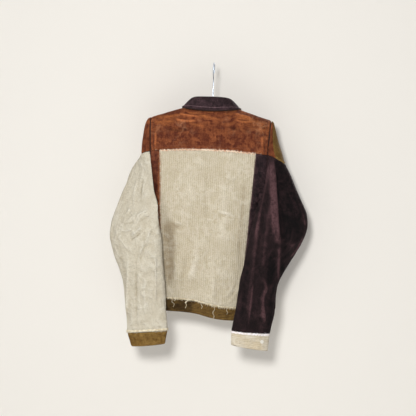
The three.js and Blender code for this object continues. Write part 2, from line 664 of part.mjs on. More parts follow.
// The hook's bow stands fore and aft, so its wire path lies in the YZ plane.
const bowRadius = HOOK_INNER_RADIUS + WIRE / 2;
const bow = [];
for (let degrees = HOOK_TIP_ANGLE; degrees <= HOOK_NECK_ANGLE; degrees += 22.5) {
  const angle = degToRad(degrees);
  const rise = bowRadius * Math.sin(angle) - HOOK_INNER_RADIUS;
  bow.push(new THREE.Vector3(0, bowRadius * Math.cos(angle), rise));
}
const shank = [-0.42, -0.7, -1].map((part) => new THREE.Vector3(0, 0, part * -(crestLine(0) + SEAM_GAP)));
const wirePath = new THREE.CatmullRomCurve3([...bow, ...shank], false, 'centripetal');
const wireSection = new THREE.Shape();
wireSection.absarc(0, 0, WIRE / 2, 0, 2 * Math.PI);
const swept = { steps: 36, curveSegments: 4, bevelEnabled: false, extrudePath: wirePath };
const wire = new THREE.ExtrudeGeometry(wireSection, swept);
addPiece('hanger_hook', wire, steel, jacket);

export default jacket;
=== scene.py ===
# %% [markdown]
# # A patched corduroy jacket on its hanger
#
# The jacket is pieced from worn corduroys: a rust yoke, a cream back, one cream sleeve and one plum one,
# an olive waistband and odd cuffs. Its seams are left raw, so they fray. It hangs open-necked on a beech
# hanger, and only the hanger's wire hook shows above the collar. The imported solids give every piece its
# place. Here each piece of cloth is built again as a thin, finely divided sheet on the same form, so that
# it can carry folds, wales and wear.

# %% Load the frame
import math

import bmesh
import bpy
import numpy as np
from mathutils import Matrix, Quaternion, Vector


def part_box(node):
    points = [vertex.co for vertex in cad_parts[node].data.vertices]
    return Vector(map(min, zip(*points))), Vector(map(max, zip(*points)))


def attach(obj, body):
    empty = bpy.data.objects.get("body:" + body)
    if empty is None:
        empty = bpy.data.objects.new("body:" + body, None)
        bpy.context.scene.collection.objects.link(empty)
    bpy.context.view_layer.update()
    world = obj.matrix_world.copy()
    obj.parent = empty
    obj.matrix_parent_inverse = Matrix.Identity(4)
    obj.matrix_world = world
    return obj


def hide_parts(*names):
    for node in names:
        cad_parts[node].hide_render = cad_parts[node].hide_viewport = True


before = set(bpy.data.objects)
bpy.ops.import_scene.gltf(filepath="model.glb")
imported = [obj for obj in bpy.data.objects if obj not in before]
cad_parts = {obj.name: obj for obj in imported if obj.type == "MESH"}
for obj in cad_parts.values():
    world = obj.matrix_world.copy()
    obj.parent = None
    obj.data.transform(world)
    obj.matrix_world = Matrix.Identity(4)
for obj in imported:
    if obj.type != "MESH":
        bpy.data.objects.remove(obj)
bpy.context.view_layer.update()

MM = 0.001
print("nodes:", sorted(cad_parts))

# %% [markdown]
# ## The form under the cloth
#
# A jacket on a hanger is a soft, flattened tube under a sloping shoulder line. Level sections through it
# are squarish ovals, so a superellipse describes them with one number for how square they are. The same
# few sizes that shape the solids are repeated here in millimetres. Numpy works on whole grids of points
# at once, which keeps sheets of thirty thousand points quick.

# %% Body sizes, in millimetres
CLOTH = 2.0
HUNG_ASIDE = -3.0
CREST_TOP = -115.0
CREST_FALL = 0.33
CREST_ROUND = 30.0
SHOULDER_DROP = 62.0
SQUARENESS = 2.6
CHEST_HALF = 205.0
UNDERARM_HALF = 196.0
HEM_HALF = 213.0
BACK_DEPTH = (58.0, 64.0)
FRONT_DEPTH = (50.0, 56.0)
UNDERARM = -418.4
HEM = -750.0
BAND_HEIGHT = 38.0
YOKE_CENTRE = -257.0
YOKE_SIDE_FALL = 10.0
SEAM_GAP = 0.4
BAND_GAP = 0.8
FRONT_LAP = 12.0
UNDERLAP = 2.6


def mix(a, b, part):
    return a + (b - a) * part


def ease(value, low, high):
    part = np.clip((value - low) / (high - low), 0, 1)
    return part * part * (3 - 2 * part)


def crest(x):
    return CREST_TOP - CREST_FALL * (np.hypot(x, CREST_ROUND) - CREST_ROUND)


def half_width(z):
    chest = (CHEST_HALF - UNDERARM_HALF) * ease(z, UNDERARM, -300)
    below = np.clip((UNDERARM - z) / (UNDERARM - HEM), 0, None)
    return UNDERARM_HALF + chest + (HEM_HALF - UNDERARM_HALF) * below


def depth(z, back):
    fall = ease(-z, 250, 700)
    return np.where(back, mix(*BACK_DEPTH, fall), mix(*FRONT_DEPTH, fall))


def rounding(part):
    return (1 - np.minimum(1, np.abs(part)) ** SQUARENESS) ** (1 / SQUARENESS)


TURN_ARC = SHOULDER_DROP * math.pi / 2


def body_point(x, arc, width=None):
    along = np.abs(arc)
    turn = np.minimum(along / SHOULDER_DROP, math.pi / 2)
    z = crest(x) - SHOULDER_DROP * (1 - np.cos(turn)) - np.maximum(0, along - TURN_ARC)
    if width is None:
        width = half_width(z)
    reach = depth(z, arc > 0) * rounding(x / width) * np.sin(turn)
    return np.stack([x, np.where(arc > 0, -reach, reach), z], -1)


def arc_at(x, z):
    drop = crest(x) - z
    near = SHOULDER_DROP * np.arccos(1 - np.clip(drop, 0, SHOULDER_DROP) / SHOULDER_DROP)
    return np.where(drop < SHOULDER_DROP, near, TURN_ARC + drop - SHOULDER_DROP)


def hem_back(x):
    return HEM - 10 * np.tanh((x - 8) / 40) + 9 * ease(x, 120, HEM_HALF)


def hem_front(x):
    part = x / HEM_HALF
    level = mix(hem_back(-HEM_HALF), hem_back(HEM_HALF), (part + 1) / 2)
    return level - 4 * (1 - part * part)


def yoke_seam(x):
    return YOKE_CENTRE - YOKE_SIDE_FALL * (x / ARMHOLE_MIDDLE_X) ** 2


# %% [markdown]
# The armhole is a loop on that form. It is counted in 32 steps from the shoulder's top, down the back to
# the underarm and up the front, because every piece that meets it then finds the same points.

# %% Armhole and neckline
ARMHOLE_STEPS = 32
ARMHOLE_TOP_X = 180.0
ARMHOLE_MIDDLE_X = 174.0
SEAM_STEP = 7
SHOULDER_SEAM_STEP = -2
NECK_HALF = 80.0
NECK_ARCS = {"side": -9.7, "back": 46.0, "front": -116.0}
ARMHOLE_TOP = float(crest(ARMHOLE_TOP_X))
ARMHOLE_CENTRE = (ARMHOLE_TOP + UNDERARM) / 2
ARMHOLE_HALF = (ARMHOLE_TOP - UNDERARM) / 2


def armhole(step):
    angle = np.asarray(step, float) * 2 * math.pi / ARMHOLE_STEPS
    sine, cosine = np.sin(angle), np.cos(angle)
    behind = sine >= 0
    z = ARMHOLE_CENTRE + ARMHOLE_HALF * cosine
    x = mix(ARMHOLE_MIDDLE_X, ARMHOLE_TOP_X, cosine ** 2)
    arc = arc_at(x, z)
    upper = body_point(x, np.where(behind, arc, -arc - 1e-9))
    middle = rounding(ARMHOLE_MIDDLE_X / half_width(ARMHOLE_CENTRE)) * np.abs(sine)
    reach = depth(z, behind) * middle
    lower = np.stack([half_width(z) * rounding(middle), np.where(behind, -reach, reach), z], -1)
    return np.where((cosine > 0)[..., None], upper, lower)


def neck_arc(turn):
    ahead = np.cos(turn)
    back = mix(NECK_ARCS["side"], NECK_ARCS["back"], np.clip(ahead, 0, 1))
    front = mix(NECK_ARCS["side"], NECK_ARCS["front"], np.clip(-ahead, 0, 1) ** 1.3)
    return np.where(ahead > 0, back, front)


def shoulder_seam_arc(x):
    part = (np.abs(x) - NECK_HALF) / (ARMHOLE_TOP_X - NECK_HALF)
    end = armhole(SHOULDER_SEAM_STEP)
    return mix(NECK_ARCS["side"], -arc_at(end[0], end[2]), part)


print("armhole:", armhole(0).round(1), "to", armhole(16).round(1))

# %% [markdown]
# ## Sheets with folds
#
# Cloth is given as a grid of points: rows run down the piece and columns run across it. From the grid come
# its normals and its flat pattern, which is each point's distance along its own row and column. Folds are
# then pressed in along the normals: a ridge follows a path drawn on the hanging jacket, as (x, z) in
# millimetres, and fades at both ends. A simulation would fold the cloth by chance. Placing folds one by one
# keeps each where the real one hangs, and soft noise from a seeded lattice fills in the small unevenness
# that old corduroy has.

# %% Grid helpers
def grid(columns, rows):
    """Parts from 0 to 1 across and down, one pair for each point of a grid."""
    u = np.linspace(0, 1, columns)
    v = np.linspace(0, 1, rows)
    return np.meshgrid(u, v)


def normals(points, closed=False):
    across = np.gradient(points, axis=1)
    if closed:
        wrap = (points[:, 1] - points[:, -2]) / 2
        across[:, 0] = wrap
        across[:, -1] = wrap
    down = np.gradient(points, axis=0)
    out = np.cross(across, down)
    return out / np.maximum(np.linalg.norm(out, axis=2, keepdims=True), 1e-9)


def pattern(points, middle=0.5):
    """Flat distances in millimetres: across from a middle column, and down from the top row."""
    step = np.linalg.norm(np.diff(points, axis=1), axis=2)
    across = np.concatenate([np.zeros((len(points), 1)), np.cumsum(step, axis=1)], axis=1)
    centre = int(round(middle * (points.shape[1] - 1)))
    across = across - across[:, centre:centre + 1]
    step = np.linalg.norm(np.diff(points, axis=0), axis=2).mean(axis=1)
    down = np.concatenate([[0], np.cumsum(step)])
    return across, np.broadcast_to(down[:, None], across.shape).copy()


def unevenness(a, b, size, seed):
    """Smooth seeded noise from -1 to 1, with bumps about size across."""
    lattice = np.random.default_rng(seed).uniform(-1, 1, (97, 97))
    a, b = a / size + 40.3, b / size + 40.7
    i, j = np.floor(a).astype(int), np.floor(b).astype(int)
    p, q = a - i, b - j
    p, q = p * p * (3 - 2 * p), q * q * (3 - 2 * q)
    i, j = i % 96, j % 96
    near = mix(lattice[i, j], lattice[i + 1, j], p)
    far = mix(lattice[i, j + 1], lattice[i + 1, j + 1], p)
    return mix(near, far, q)


def smooth_path(path, count=48):
    """A curve through a few points, by the Catmull-Rom rule."""
    path = np.asarray(path, float)
    path = np.concatenate([2 * path[:1] - path[1:2], path, 2 * path[-1:] - path[-2:-1]])
    t = np.linspace(0, len(path) - 3 - 1e-6, count)
    i = t.astype(int)
    t = (t - i)[:, None]
    a, b, c, d = (path[i + k] for k in range(4))
    return 0.5 * (2 * b + (c - a) * t + (2 * a - 5 * b + 4 * c - d) * t ** 2
                  + (3 * b - a - 3 * c + d) * t ** 3)


def ridge(points, facing, path, width, height, lean=1.0, ends=0.3):
    """A fold along a path. lean under 1 makes its right side steeper, and over 1 its left side."""
    line = smooth_path(path)
    x, z = points[..., 0], points[..., 2]
    best = np.full(x.shape, 1e9)
    along = np.zeros(x.shape)
    side = np.zeros(x.shape)
    for k in range(len(line) - 1):
        a, d = line[k], line[k + 1] - line[k]
        t = np.clip(((x - a[0]) * d[0] + (z - a[1]) * d[1]) / (d @ d), 0, 1)
        ox, oz = x - a[0] - d[0] * t, z - a[1] - d[1] * t
        gap = np.hypot(ox, oz)
        nearer = gap < best
        best = np.where(nearer, gap, best)
        along = np.where(nearer, (k + t) / (len(line) - 1), along)
        side = np.where(nearer, d[0] * oz - d[1] * ox, side)
    reach = np.where(side > 0, width * lean, width / lean)
    fade = ease(along, 0, ends) * ease(1 - along, 0, ends) if ends else 1.0
    return height * np.exp(-(best / reach) ** 2) * fade * facing


def press(points, facing, folds, wider=1.0, higher=1.0, ends=0.3):
    """All the folds of a list of (path, width, height)."""
    return sum(ridge(points, facing, path, wider * width, higher * height, ends=ends)
               for path, width, height in folds)


# %% [markdown]
# A sheet becomes a mesh with bmesh's grid, whose points are then moved to their places. Its flat pattern is
# kept as the UV map in metres, so corduroy wales keep their true spacing and follow the cloth. Two more
# values are kept at each point: how far a fold lifts it, with painted shade and painted highlights added
# along given paths, and how near it is to a raw edge. The finishes read them for wear, for painted
# highlights on ridges and for painted shade in hollows. A Solidify modifier gives the cloth its thickness,
# inwards.

# %% Build a piece of cloth
sheets = {}


def placed(points):
    """Metres in the shared frame, from millimetres on the jacket, which hangs a little to one side."""
    return (np.asarray(points) + [HUNG_ASIDE, 0, 0]) * MM


def grid_mesh(name, grids):
    """One mesh of bmesh grids, of the same number of points each, with every point moved to its place."""
    count, rows, columns = grids.shape[:3]
    bm = bmesh.new()
    for _ in range(count):
        bmesh.ops.create_grid(bm, x_segments=columns - 1, y_segments=rows - 1, size=1)
    mesh = bpy.data.meshes.new(name)
    bm.to_mesh(mesh)
    bm.free()
    mesh.vertices.foreach_set("co", placed(grids).reshape(-1).astype(np.float32))
    return mesh


def show(name, mesh):
    mesh.polygons.foreach_set("use_smooth", np.ones(len(mesh.polygons), bool))
    piece = bpy.data.objects.new(name, mesh)
    bpy.context.scene.collection.objects.link(piece)
    return piece


def thicken(piece, thickness, offset):
    wall = piece.modifiers.new("thickness", "SOLIDIFY")
    wall.thickness = thickness * MM
    wall.offset = offset


def make_sheet(name, points, across, down, lift, edge, closed=False):
    rows, columns = points.shape[:2]
    mesh = grid_mesh(name + "_cloth", points[None])
    corner = np.zeros(len(mesh.loops), np.int32)
    mesh.loops.foreach_get("vertex_index", corner)
    flat = np.stack([across, down], -1).reshape(-1, 2) * MM
    layer = mesh.uv_layers.new(name="UVMap")
    layer.data.foreach_set("uv", flat[corner].reshape(-1).astype(np.float32))
    for key, values in (("lift", lift), ("edge", edge)):
        data = mesh.attributes.new(key, "FLOAT", "POINT").data
        data.foreach_set("value", np.broadcast_to(values, across.shape).reshape(-1).astype(np.float32))
    if closed:
        bm = bmesh.new()
        bm.from_mesh(mesh)
        bm.verts.ensure_lookup_table()
        rim = [bm.verts[r * columns + c] for r in range(rows) for c in (0, columns - 1)]
        bmesh.ops.remove_doubles(bm, verts=rim, dist=0.02 * MM)
        bm.to_mesh(mesh)
        bm.free()
    piece = show(name + "_cloth", mesh)
    thicken(piece, CLOTH, -1)
    sheets[name] = {"object": piece, "points": points}
    return piece


def sheet_area(points):
    across = np.diff(points, axis=1)[:-1]
    down = np.diff(points, axis=0)[:, :-1]
    return np.linalg.norm(np.cross(across, down), axis=2).sum() * MM * MM


def tight_cut(points):
    """Width and length in metres of the smallest rectangle round a slanting piece laid flat."""
    flat = points.reshape(-1, 3) - points.reshape(-1, 3).mean(axis=0)
    axes = np.linalg.svd(flat, full_matrices=False)[2][:2]
    flat = flat @ axes.T
    turns = np.radians(np.arange(0, 90, 2))
    spans = [np.ptp(flat @ np.array([[math.cos(a), -math.sin(a)], [math.sin(a), math.cos(a)]]), axis=0)
             for a in turns]
    best = min(spans, key=lambda span: span[0] * span[1])
    return float(best.min()) * MM, float(best.max()) * MM


def cloth(name, points, lift=None, middle=0.5, closed=False, edges="", wale=None,
          seed=1, soft=1.0, pucker=1.0, slanting=False, painted_tone=None):
    across, down = pattern(points, middle)
    area = sheet_area(points)
    out = normals(points, closed)
    left, right = across - across[:, :1], across[:, -1:] - across
    top, bottom = down, down[-1:] - down
    near = {"l": (left, down), "r": (right, down), "t": (top, across), "b": (bottom, across)}
    raise_by = np.zeros(across.shape) if lift is None else lift(points, out)
    shape = raise_by.copy()
    x, z = points[..., 0], points[..., 2]
    shape += soft * (0.9 * unevenness(x + 400 * (out[..., 1] > 0), z, 46, seed)
                     + 0.35 * unevenness(across, down, 17, seed + 1))
    edge = np.zeros(across.shape)
    for k, key in enumerate(edges):
        gap, along = near[key]
        shape -= 1.1 * np.exp(-(gap / 2.6) ** 2)
        wrinkle = unevenness(along, gap * 0.25, 9, seed + 5 + k)
        shape += pucker * 0.55 * wrinkle * np.exp(-((gap - 6) / 9) ** 2)
        edge = np.maximum(edge, np.exp(-gap / 5))
    if wale:
        spacing, height = wale
        shape += height * np.cos(2 * math.pi * across / spacing) * (1 - 0.7 * edge)
    if closed:
        shape[:, -1] = shape[:, 0]
    moved = points + out * shape[..., None]
    # Lift for the finishes: fold height, plus painted shade and painted highlights from the shading paths.
    shade = raise_by / 6 + (painted_tone(points, out) if painted_tone else 0)
    piece = make_sheet(name, moved, across, down, shade, edge, closed)
    sheets[name]["normals"] = normals(moved, closed)
    width = float((across[:, -1] - across[:, 0]).max()) * MM
    length = float(down.max()) * MM
    if slanting:
        width, length = tight_cut(points)
    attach(piece, "root")
    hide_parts(name)
    sheets[name]["flat"] = (round(width, 4), round(length, 4))
    sheets[name]["area"] = round(min(area, width * length), 5)
    print(f"{name}: cut {width * 1000:.0f} x {length * 1000:.0f} mm, {area:.3f} m2, "
          f"{len(piece.data.polygons)} faces")
    return piece


def backwards(out, low=0.0, high=0.5):
    """1 where the cloth faces the back, 0 where it faces the front."""
    return ease(-out[..., 1], low, high)


def forwards(out, low=0.0, high=0.5):
    return ease(out[..., 1], low, high)


def folded(folds, seen=backwards, low=0.0, high=0.3, **sizes):
    """A lift that presses these folds into the cloth where it faces the back, or the front."""
    def lift(points, out):
        return press(points, seen(out, low, high), folds, **sizes)
    return lift


# %% [markdown]
# ## Finishes
#
# Corduroy is a ribbed pile cloth. Each wale is a low, soft ridge of cut pile, and the ground shows dark in
# the grooves between. With wear the pile thins to the pale ground on folds and at edges, and the dye fades
# in blotches. One recipe serves every cloth here. Its wales come from the flat pattern, so they run true
# along each piece, and its colours are mixed from base, groove, worn and stained tones. The worn colour
# also serves as a painted highlight on fold ridges, and the groove colour as painted shade in fold hollows.

# %% Finish helpers
def srgb(red, green, blue):
    def linear(value):
        value = value / 255
        return value / 12.92 if value <= 0.04045 else ((value + 0.055) / 1.055) ** 2.4
    return (linear(red), linear(green), linear(blue), 1.0)


class Finish:
    """A material with short ways to add and join its nodes."""

    def __init__(self, name):
        self.material = bpy.data.materials.new(name)
        self.material.use_nodes = True
        self.tree = self.material.node_tree
        self.shader = self.tree.nodes["Principled BSDF"]

    def node(self, kind, **settings):
        made = self.tree.nodes.new(kind)
        for key, value in settings.items():
            setattr(made, key, value)
        return made

    def put(self, socket, value):
        if isinstance(value, bpy.types.NodeSocket):
            self.tree.links.new(value, socket)
        else:
            socket.default_value = value

    def sum(self, operation, a, b=0.0, c=0.0, clamp=False):
        made = self.node("ShaderNodeMath", operation=operation, use_clamp=clamp)
        for socket, value in zip(made.inputs, (a, b, c)):
            self.put(socket, value)
        return made.outputs[0]

    def blend(self, part, a, b, kind="MIX"):
        made = self.node("ShaderNodeMix", data_type="RGBA", blend_type=kind)
        self.put(made.inputs[0], part)
        self.put(made.inputs[6], a)
        self.put(made.inputs[7], b)
        return made.outputs[2]

    def steps(self, value, low, high, a=0.0, b=1.0):
        made = self.node("ShaderNodeMapRange", interpolation_type="SMOOTHSTEP")
        for socket, setting in zip(made.inputs, (value, low, high, a, b)):
            self.put(socket, setting)
        return made.outputs[0]

    def noise(self, where, scale, detail=3.0, stretch=(1, 1, 1), rough=0.5):
        mapping = self.node("ShaderNodeMapping")
        self.put(mapping.inputs["Vector"], where)
        mapping.inputs["Scale"].default_value = stretch
        made = self.node("ShaderNodeTexNoise")
        self.put(made.inputs["Vector"], mapping.outputs[0])
        made.inputs["Scale"].default_value = scale
        made.inputs["Detail"].default_value = detail
        made.inputs["Roughness"].default_value = rough
        return made.outputs[0]

    def creases(self, where, scale, stretch=(1, 1, 1), thin=7.0):
        """Fine wandering lines, 1 on each line and 0 between them."""
        away = self.sum("ABSOLUTE", self.sum("SUBTRACT", self.noise(where, scale, 2, stretch), 0.5))
        near = self.sum("SUBTRACT", 1.0, self.sum("MULTIPLY", away, thin), clamp=True)
        return self.sum("POWER", near, 2.0)

    def value(self, name):
        return self.node("ShaderNodeAttribute", attribute_name=name).outputs["Fac"]

    def coordinates(self, kind="Object"):
        return self.node("ShaderNodeTexCoord").outputs[kind]

    def bump(self, height, distance, strength=1.0, under=None):
        made = self.node("ShaderNodeBump")
        made.inputs["Strength"].default_value = strength
        made.inputs["Distance"].default_value = distance
        self.put(made.inputs["Height"], height)
        if under:
            self.put(made.inputs["Normal"], under)
        return made.outputs[0]


def corduroy(name, base, groove, worn, stain, wale=3.0, across_cloth=False, ribs=0.5, relief=0.00035,
             streaks=0.35, blotches=0.4, wear=0.5, sheen=0.25, sheen_tint=None, extra=None,
             crumple=1.0, speckle=0.2, hollow_shade=0.8):
    """wale is the rib spacing in millimetres, crumple and speckle how creased and flecked the pile is."""
    f = Finish(name)
    flat = f.node("ShaderNodeUVMap", uv_map="UVMap").outputs[0]
    place = f.coordinates()
    split = f.node("ShaderNodeSeparateXYZ")
    f.put(split.inputs[0], flat)
    run = split.outputs[1 if across_cloth else 0]
    wander = f.sum("MULTIPLY", f.sum("SUBTRACT", f.noise(flat, 26, 2), 0.5), 1.1 * MM)
    turns = f.sum("MULTIPLY", f.sum("ADD", run, wander), 2 * math.pi / (wale * MM))
    rib = f.sum("MULTIPLY_ADD", f.sum("COSINE", turns), 0.5, 0.5)
    streak_stretch = (1, 14, 1) if across_cloth else (14, 1, 1)
    streak = f.noise(flat, 22, 4, streak_stretch, 0.6)
    pile = f.noise(flat, 900, 2, (1, 0.35, 1) if not across_cloth else (0.35, 1, 1), 0.6)
    blotch = f.noise(place, 13, 4, (1, 1, 1), 0.6)
    small = f.noise(place, 75, 3, (1, 1, 1), 0.6)
    lift = f.value("lift")
    edge = f.value("edge")
    colour = f.blend(f.sum("MULTIPLY", f.steps(rib, 0.75, 0.1), ribs), base, groove)
    pale = f.sum("MULTIPLY", f.steps(streak, 0.46, 0.72), streaks)
    colour = f.blend(pale, colour, worn)
    colour = f.blend(f.sum("MULTIPLY", f.steps(blotch, 0.42, 0.72), blotches), colour, stain)
    # Partly wear, partly a painted highlight: raised ridges turn to the worn colour, and raw edges wear too.
    wear_and_painted_highlight = f.sum("ADD", f.steps(lift, 0.12, 0.8), f.sum("MULTIPLY", edge, 0.35))
    wear_and_painted_highlight = f.sum("MULTIPLY", wear_and_painted_highlight, f.sum("MULTIPLY", f.steps(small, 0.3, 0.6, 0.5, 1.0), wear), clamp=True)
    colour = f.blend(wear_and_painted_highlight, colour, worn)
    # Painted shade: fold hollows, where lift is below zero, darken towards the groove colour.
    colour = f.blend(f.sum("MULTIPLY", f.steps(lift, -0.05, -0.7), hollow_shade), colour, groove)
    if extra:
        colour = extra(f, colour, flat, place)
    folds = f.sum("ADD", f.creases(place, 11), f.sum("MULTIPLY", f.creases(place, 27, thin=5.0), 0.6))
    folds = f.sum("ADD", folds, f.sum("MULTIPLY", f.creases(place, 64, (0.6, 1, 1.4), thin=4.0), 0.35))
    rubbed = f.sum("MULTIPLY", folds, f.steps(small, 0.35, 0.6))
    rubbed = f.sum("MULTIPLY", rubbed, 0.35 * crumple * wear, clamp=True)
    colour = f.blend(rubbed, colour, worn)
    fleck = f.noise(flat, 420, 2, rough=0.7)
    grain = f.steps(fleck, 0.3, 0.7, 1 - speckle, 1 + speckle)
    colour = f.blend(1.0, colour, grain, "MULTIPLY")
    colour = f.blend(1.0, colour, f.sum("MULTIPLY_ADD", pile, 0.5, 0.75), "MULTIPLY")
    shader = f.shader
    f.put(shader.inputs["Base Color"], colour)
    f.put(shader.inputs["Roughness"], 0.9)
    f.put(shader.inputs["Specular IOR Level"], 0.15)
    f.put(shader.inputs["Sheen Weight"], sheen)
    f.put(shader.inputs["Sheen Roughness"], 0.4)
    f.put(shader.inputs["Sheen Tint"], sheen_tint or worn)
    nap = f.bump(f.sum("ADD", pile, small), 0.0005, 0.5)
    nap = f.bump(f.sum("ADD", folds, f.sum("MULTIPLY", small, 1.5)), 0.0022 * crumple, 0.8, nap)
    f.put(shader.inputs["Normal"], f.bump(rib, relief, 1.0, nap))
    return f.material


def plain(name, colour, roughness=0.8, metal=0.0, spot=None, size=300, relief=0.0):
    f = Finish(name)
    place = f.coordinates()
    grain = f.noise(place, size, 3)
    mixed = f.blend(f.steps(grain, 0.35, 0.65), colour, spot or colour)
    f.put(f.shader.inputs["Base Color"], mixed)
    f.put(f.shader.inputs["Roughness"], roughness)
    f.put(f.shader.inputs["Metallic"], metal)
    if relief:
        f.put(f.shader.inputs["Normal"], f.bump(grain, relief))
    return f.material


# %% [markdown]
# The colours are those of old garment-dyed corduroys. Rust fades to orange where the pile is rubbed, plum
# goes grey-mauve, cream yellows, and olive turns brown with wear. The worn colours also stand as painted
# highlights on fold ridges, and the rust's orange along the top of the shoulders is partly a painted
# highlight.

# %% Cloth finishes
RUST = (srgb(82, 36, 23), srgb(46, 18, 13), srgb(176, 104, 62), srgb(70, 30, 21))
DARK_RUST = (srgb(72, 31, 22), srgb(40, 15, 13), srgb(150, 88, 58), srgb(52, 20, 17))
CREAM = (srgb(186, 176, 154), srgb(140, 124, 98), srgb(222, 216, 202), srgb(164, 149, 122))
SLEEVE_CREAM = (srgb(188, 180, 162), srgb(150, 138, 114), srgb(220, 216, 203), srgb(176, 164, 140))
PLUM = (srgb(29, 21, 23), srgb(10, 7, 9), srgb(98, 72, 76), srgb(26, 18, 22))
SLEEVE_PLUM = (srgb(25, 17, 18), srgb(7, 5, 6), srgb(88, 62, 65), srgb(16, 11, 12))
COLLAR_PLUM = (srgb(38, 27, 29), srgb(22, 14, 18), srgb(96, 72, 78), srgb(34, 24, 28))
OLIVE = (srgb(114, 84, 38), srgb(58, 38, 14), srgb(158, 128, 72), srgb(80, 55, 20))
BAND_OLIVE = (srgb(92, 68, 32), srgb(36, 24, 9), srgb(140, 112, 62), srgb(58, 40, 16))
CAP_OLIVE = (srgb(98, 72, 34), srgb(54, 36, 16), srgb(150, 118, 62), srgb(70, 44, 22))
ECRU = (srgb(196, 185, 163), srgb(150, 128, 94), srgb(244, 240, 230), srgb(206, 182, 138))


def shoulder_wear_and_painted_highlight(f, colour, flat, place):
    """Orange streaks along the folds, strongest at the top: wear plus a painted highlight. Pale scuffs too.
    """
    height = f.node("ShaderNodeSeparateXYZ")
    f.put(height.inputs[0], place)
    # Painted highlight: the orange grows towards the top of the yoke, where the cloth turns up to the light.
    rise = f.steps(height.outputs[2], -0.235, -0.135)
    drag = f.noise(flat, 10, 5, (1, 4.5, 1), 0.65)
    part = f.sum("MULTIPLY", f.steps(drag, 0.44, 0.7), f.sum("MULTIPLY_ADD", rise, 0.8, 0.0))
    colour = f.blend(part, colour, srgb(186, 112, 60))
    scuff = f.creases(place, 34, (1, 1, 0.7), thin=9.0)
    patches = f.steps(f.noise(place, 17, 2), 0.5, 0.66)
    part = f.sum("MULTIPLY", f.sum("MULTIPLY", scuff, patches), f.sum("MULTIPLY_ADD", rise, 0.3, 0.12))
    return f.blend(part, colour, srgb(206, 150, 112))


def long_streaks(f, colour, flat, place):
    """Soft mauve streaks down the sleeve, where the pile has been brushed up."""
    brushed = f.noise(flat, 9, 4, (4.5, 0.7, 1), 0.55)
    colour = f.blend(f.steps(brushed, 0.5, 0.72, 0, 0.3), colour, srgb(62, 43, 46))
    return f.blend(f.steps(brushed, 0.48, 0.3, 0, 0.7), colour, srgb(20, 13, 15))


finishes = {
    "back_yoke": corduroy("rust_corduroy", *RUST, wale=3.2, ribs=0.34, streaks=0.14, blotches=0.3, wear=0.9,
                          sheen=0.03, extra=shoulder_wear_and_painted_highlight, crumple=0.8, speckle=0.38),
    "back_panel": corduroy("cream_corduroy", *CREAM, wale=6.0, ribs=0.3, streaks=0.22, blotches=0.2,
                           wear=0.7, sheen=0.03, relief=0.0001, crumple=0.8, speckle=0.19, hollow_shade=0.75),
    "back_side_left": corduroy("dark_rust_corduroy", *DARK_RUST, wale=4.0, blotches=0.8, wear=0.7,
                               sheen=0.1),
    "back_side_right": corduroy("plum_corduroy", *PLUM, wale=4.0, wear=0.6, sheen=0.06, streaks=0.1,
                                speckle=0.45),
    "front_left": corduroy("front_rust_corduroy", *DARK_RUST, wale=4.0, blotches=0.7, wear=0.7,
                           sheen=0.1),
    "front_right": corduroy("front_plum_corduroy", *PLUM, wale=4.0, wear=0.6, sheen=0.15),
    "waistband": corduroy("olive_corduroy", *BAND_OLIVE, wale=4.6, across_cloth=True, ribs=0.7, streaks=0.5,
                          blotches=0.7, wear=0.6, sheen=0.03, speckle=0.3),
    "collar_stand": corduroy("collar_stand_corduroy", *COLLAR_PLUM, wale=3.0, wear=0.6, sheen=0.15),
    "collar_fall": corduroy("collar_corduroy", *COLLAR_PLUM, wale=3.0, ribs=0.3, wear=0.6, sheen=0.06,
                            streaks=0.1, speckle=0.5),
    "sleeve_cap_left": corduroy("cap_rust_corduroy", *RUST, wale=3.2, wear=0.8, sheen=0.12),
    "sleeve_left": corduroy("sleeve_cream_corduroy", *SLEEVE_CREAM, wale=3.4, ribs=0.16, streaks=0.4,
                            blotches=0.4, wear=0.5, sheen=0.03, relief=0.0002, crumple=1.5, speckle=0.17,
                            hollow_shade=0.45),
    "cuff_left": corduroy("cuff_olive_corduroy", *OLIVE, wale=4.2, across_cloth=True, ribs=0.6, wear=0.8,
                          blotches=0.8, sheen=0.02, crumple=1.0, speckle=0.45),
    "sleeve_cap_right_patch": corduroy("cap_olive_corduroy", *CAP_OLIVE, wale=3.2, wear=0.6, sheen=0.1),
    "sleeve_cap_right": corduroy("cap_back_rust_corduroy", *RUST, wale=3.2, wear=0.8, sheen=0.12),
    "sleeve_right": corduroy("sleeve_plum_corduroy", *SLEEVE_PLUM, wale=3.4, ribs=0.4, streaks=0.08,
                             wear=0.9, sheen=0.12, sheen_tint=srgb(150, 110, 118), speckle=0.5, hollow_shade=0.98,
                             crumple=0.3, extra=long_streaks),
    "cuff_right": corduroy("cuff_ecru_corduroy", *ECRU, wale=5.2, across_cloth=True, ribs=0.4, streaks=0.5,
                           blotches=0.5, wear=0.4, sheen=0.03, crumple=1.3, speckle=0.12),
}
print("finishes:", len(finishes))

# %% [markdown]
# ## Back yoke
#
# The yoke is one rust piece from neckline to seam. It wraps over the shoulders and a little way down the
# front, where the shoulder seam is. Its long sides follow the armholes. The hanger drags it into shallow
# folds that run out from the neck to the sleeves.

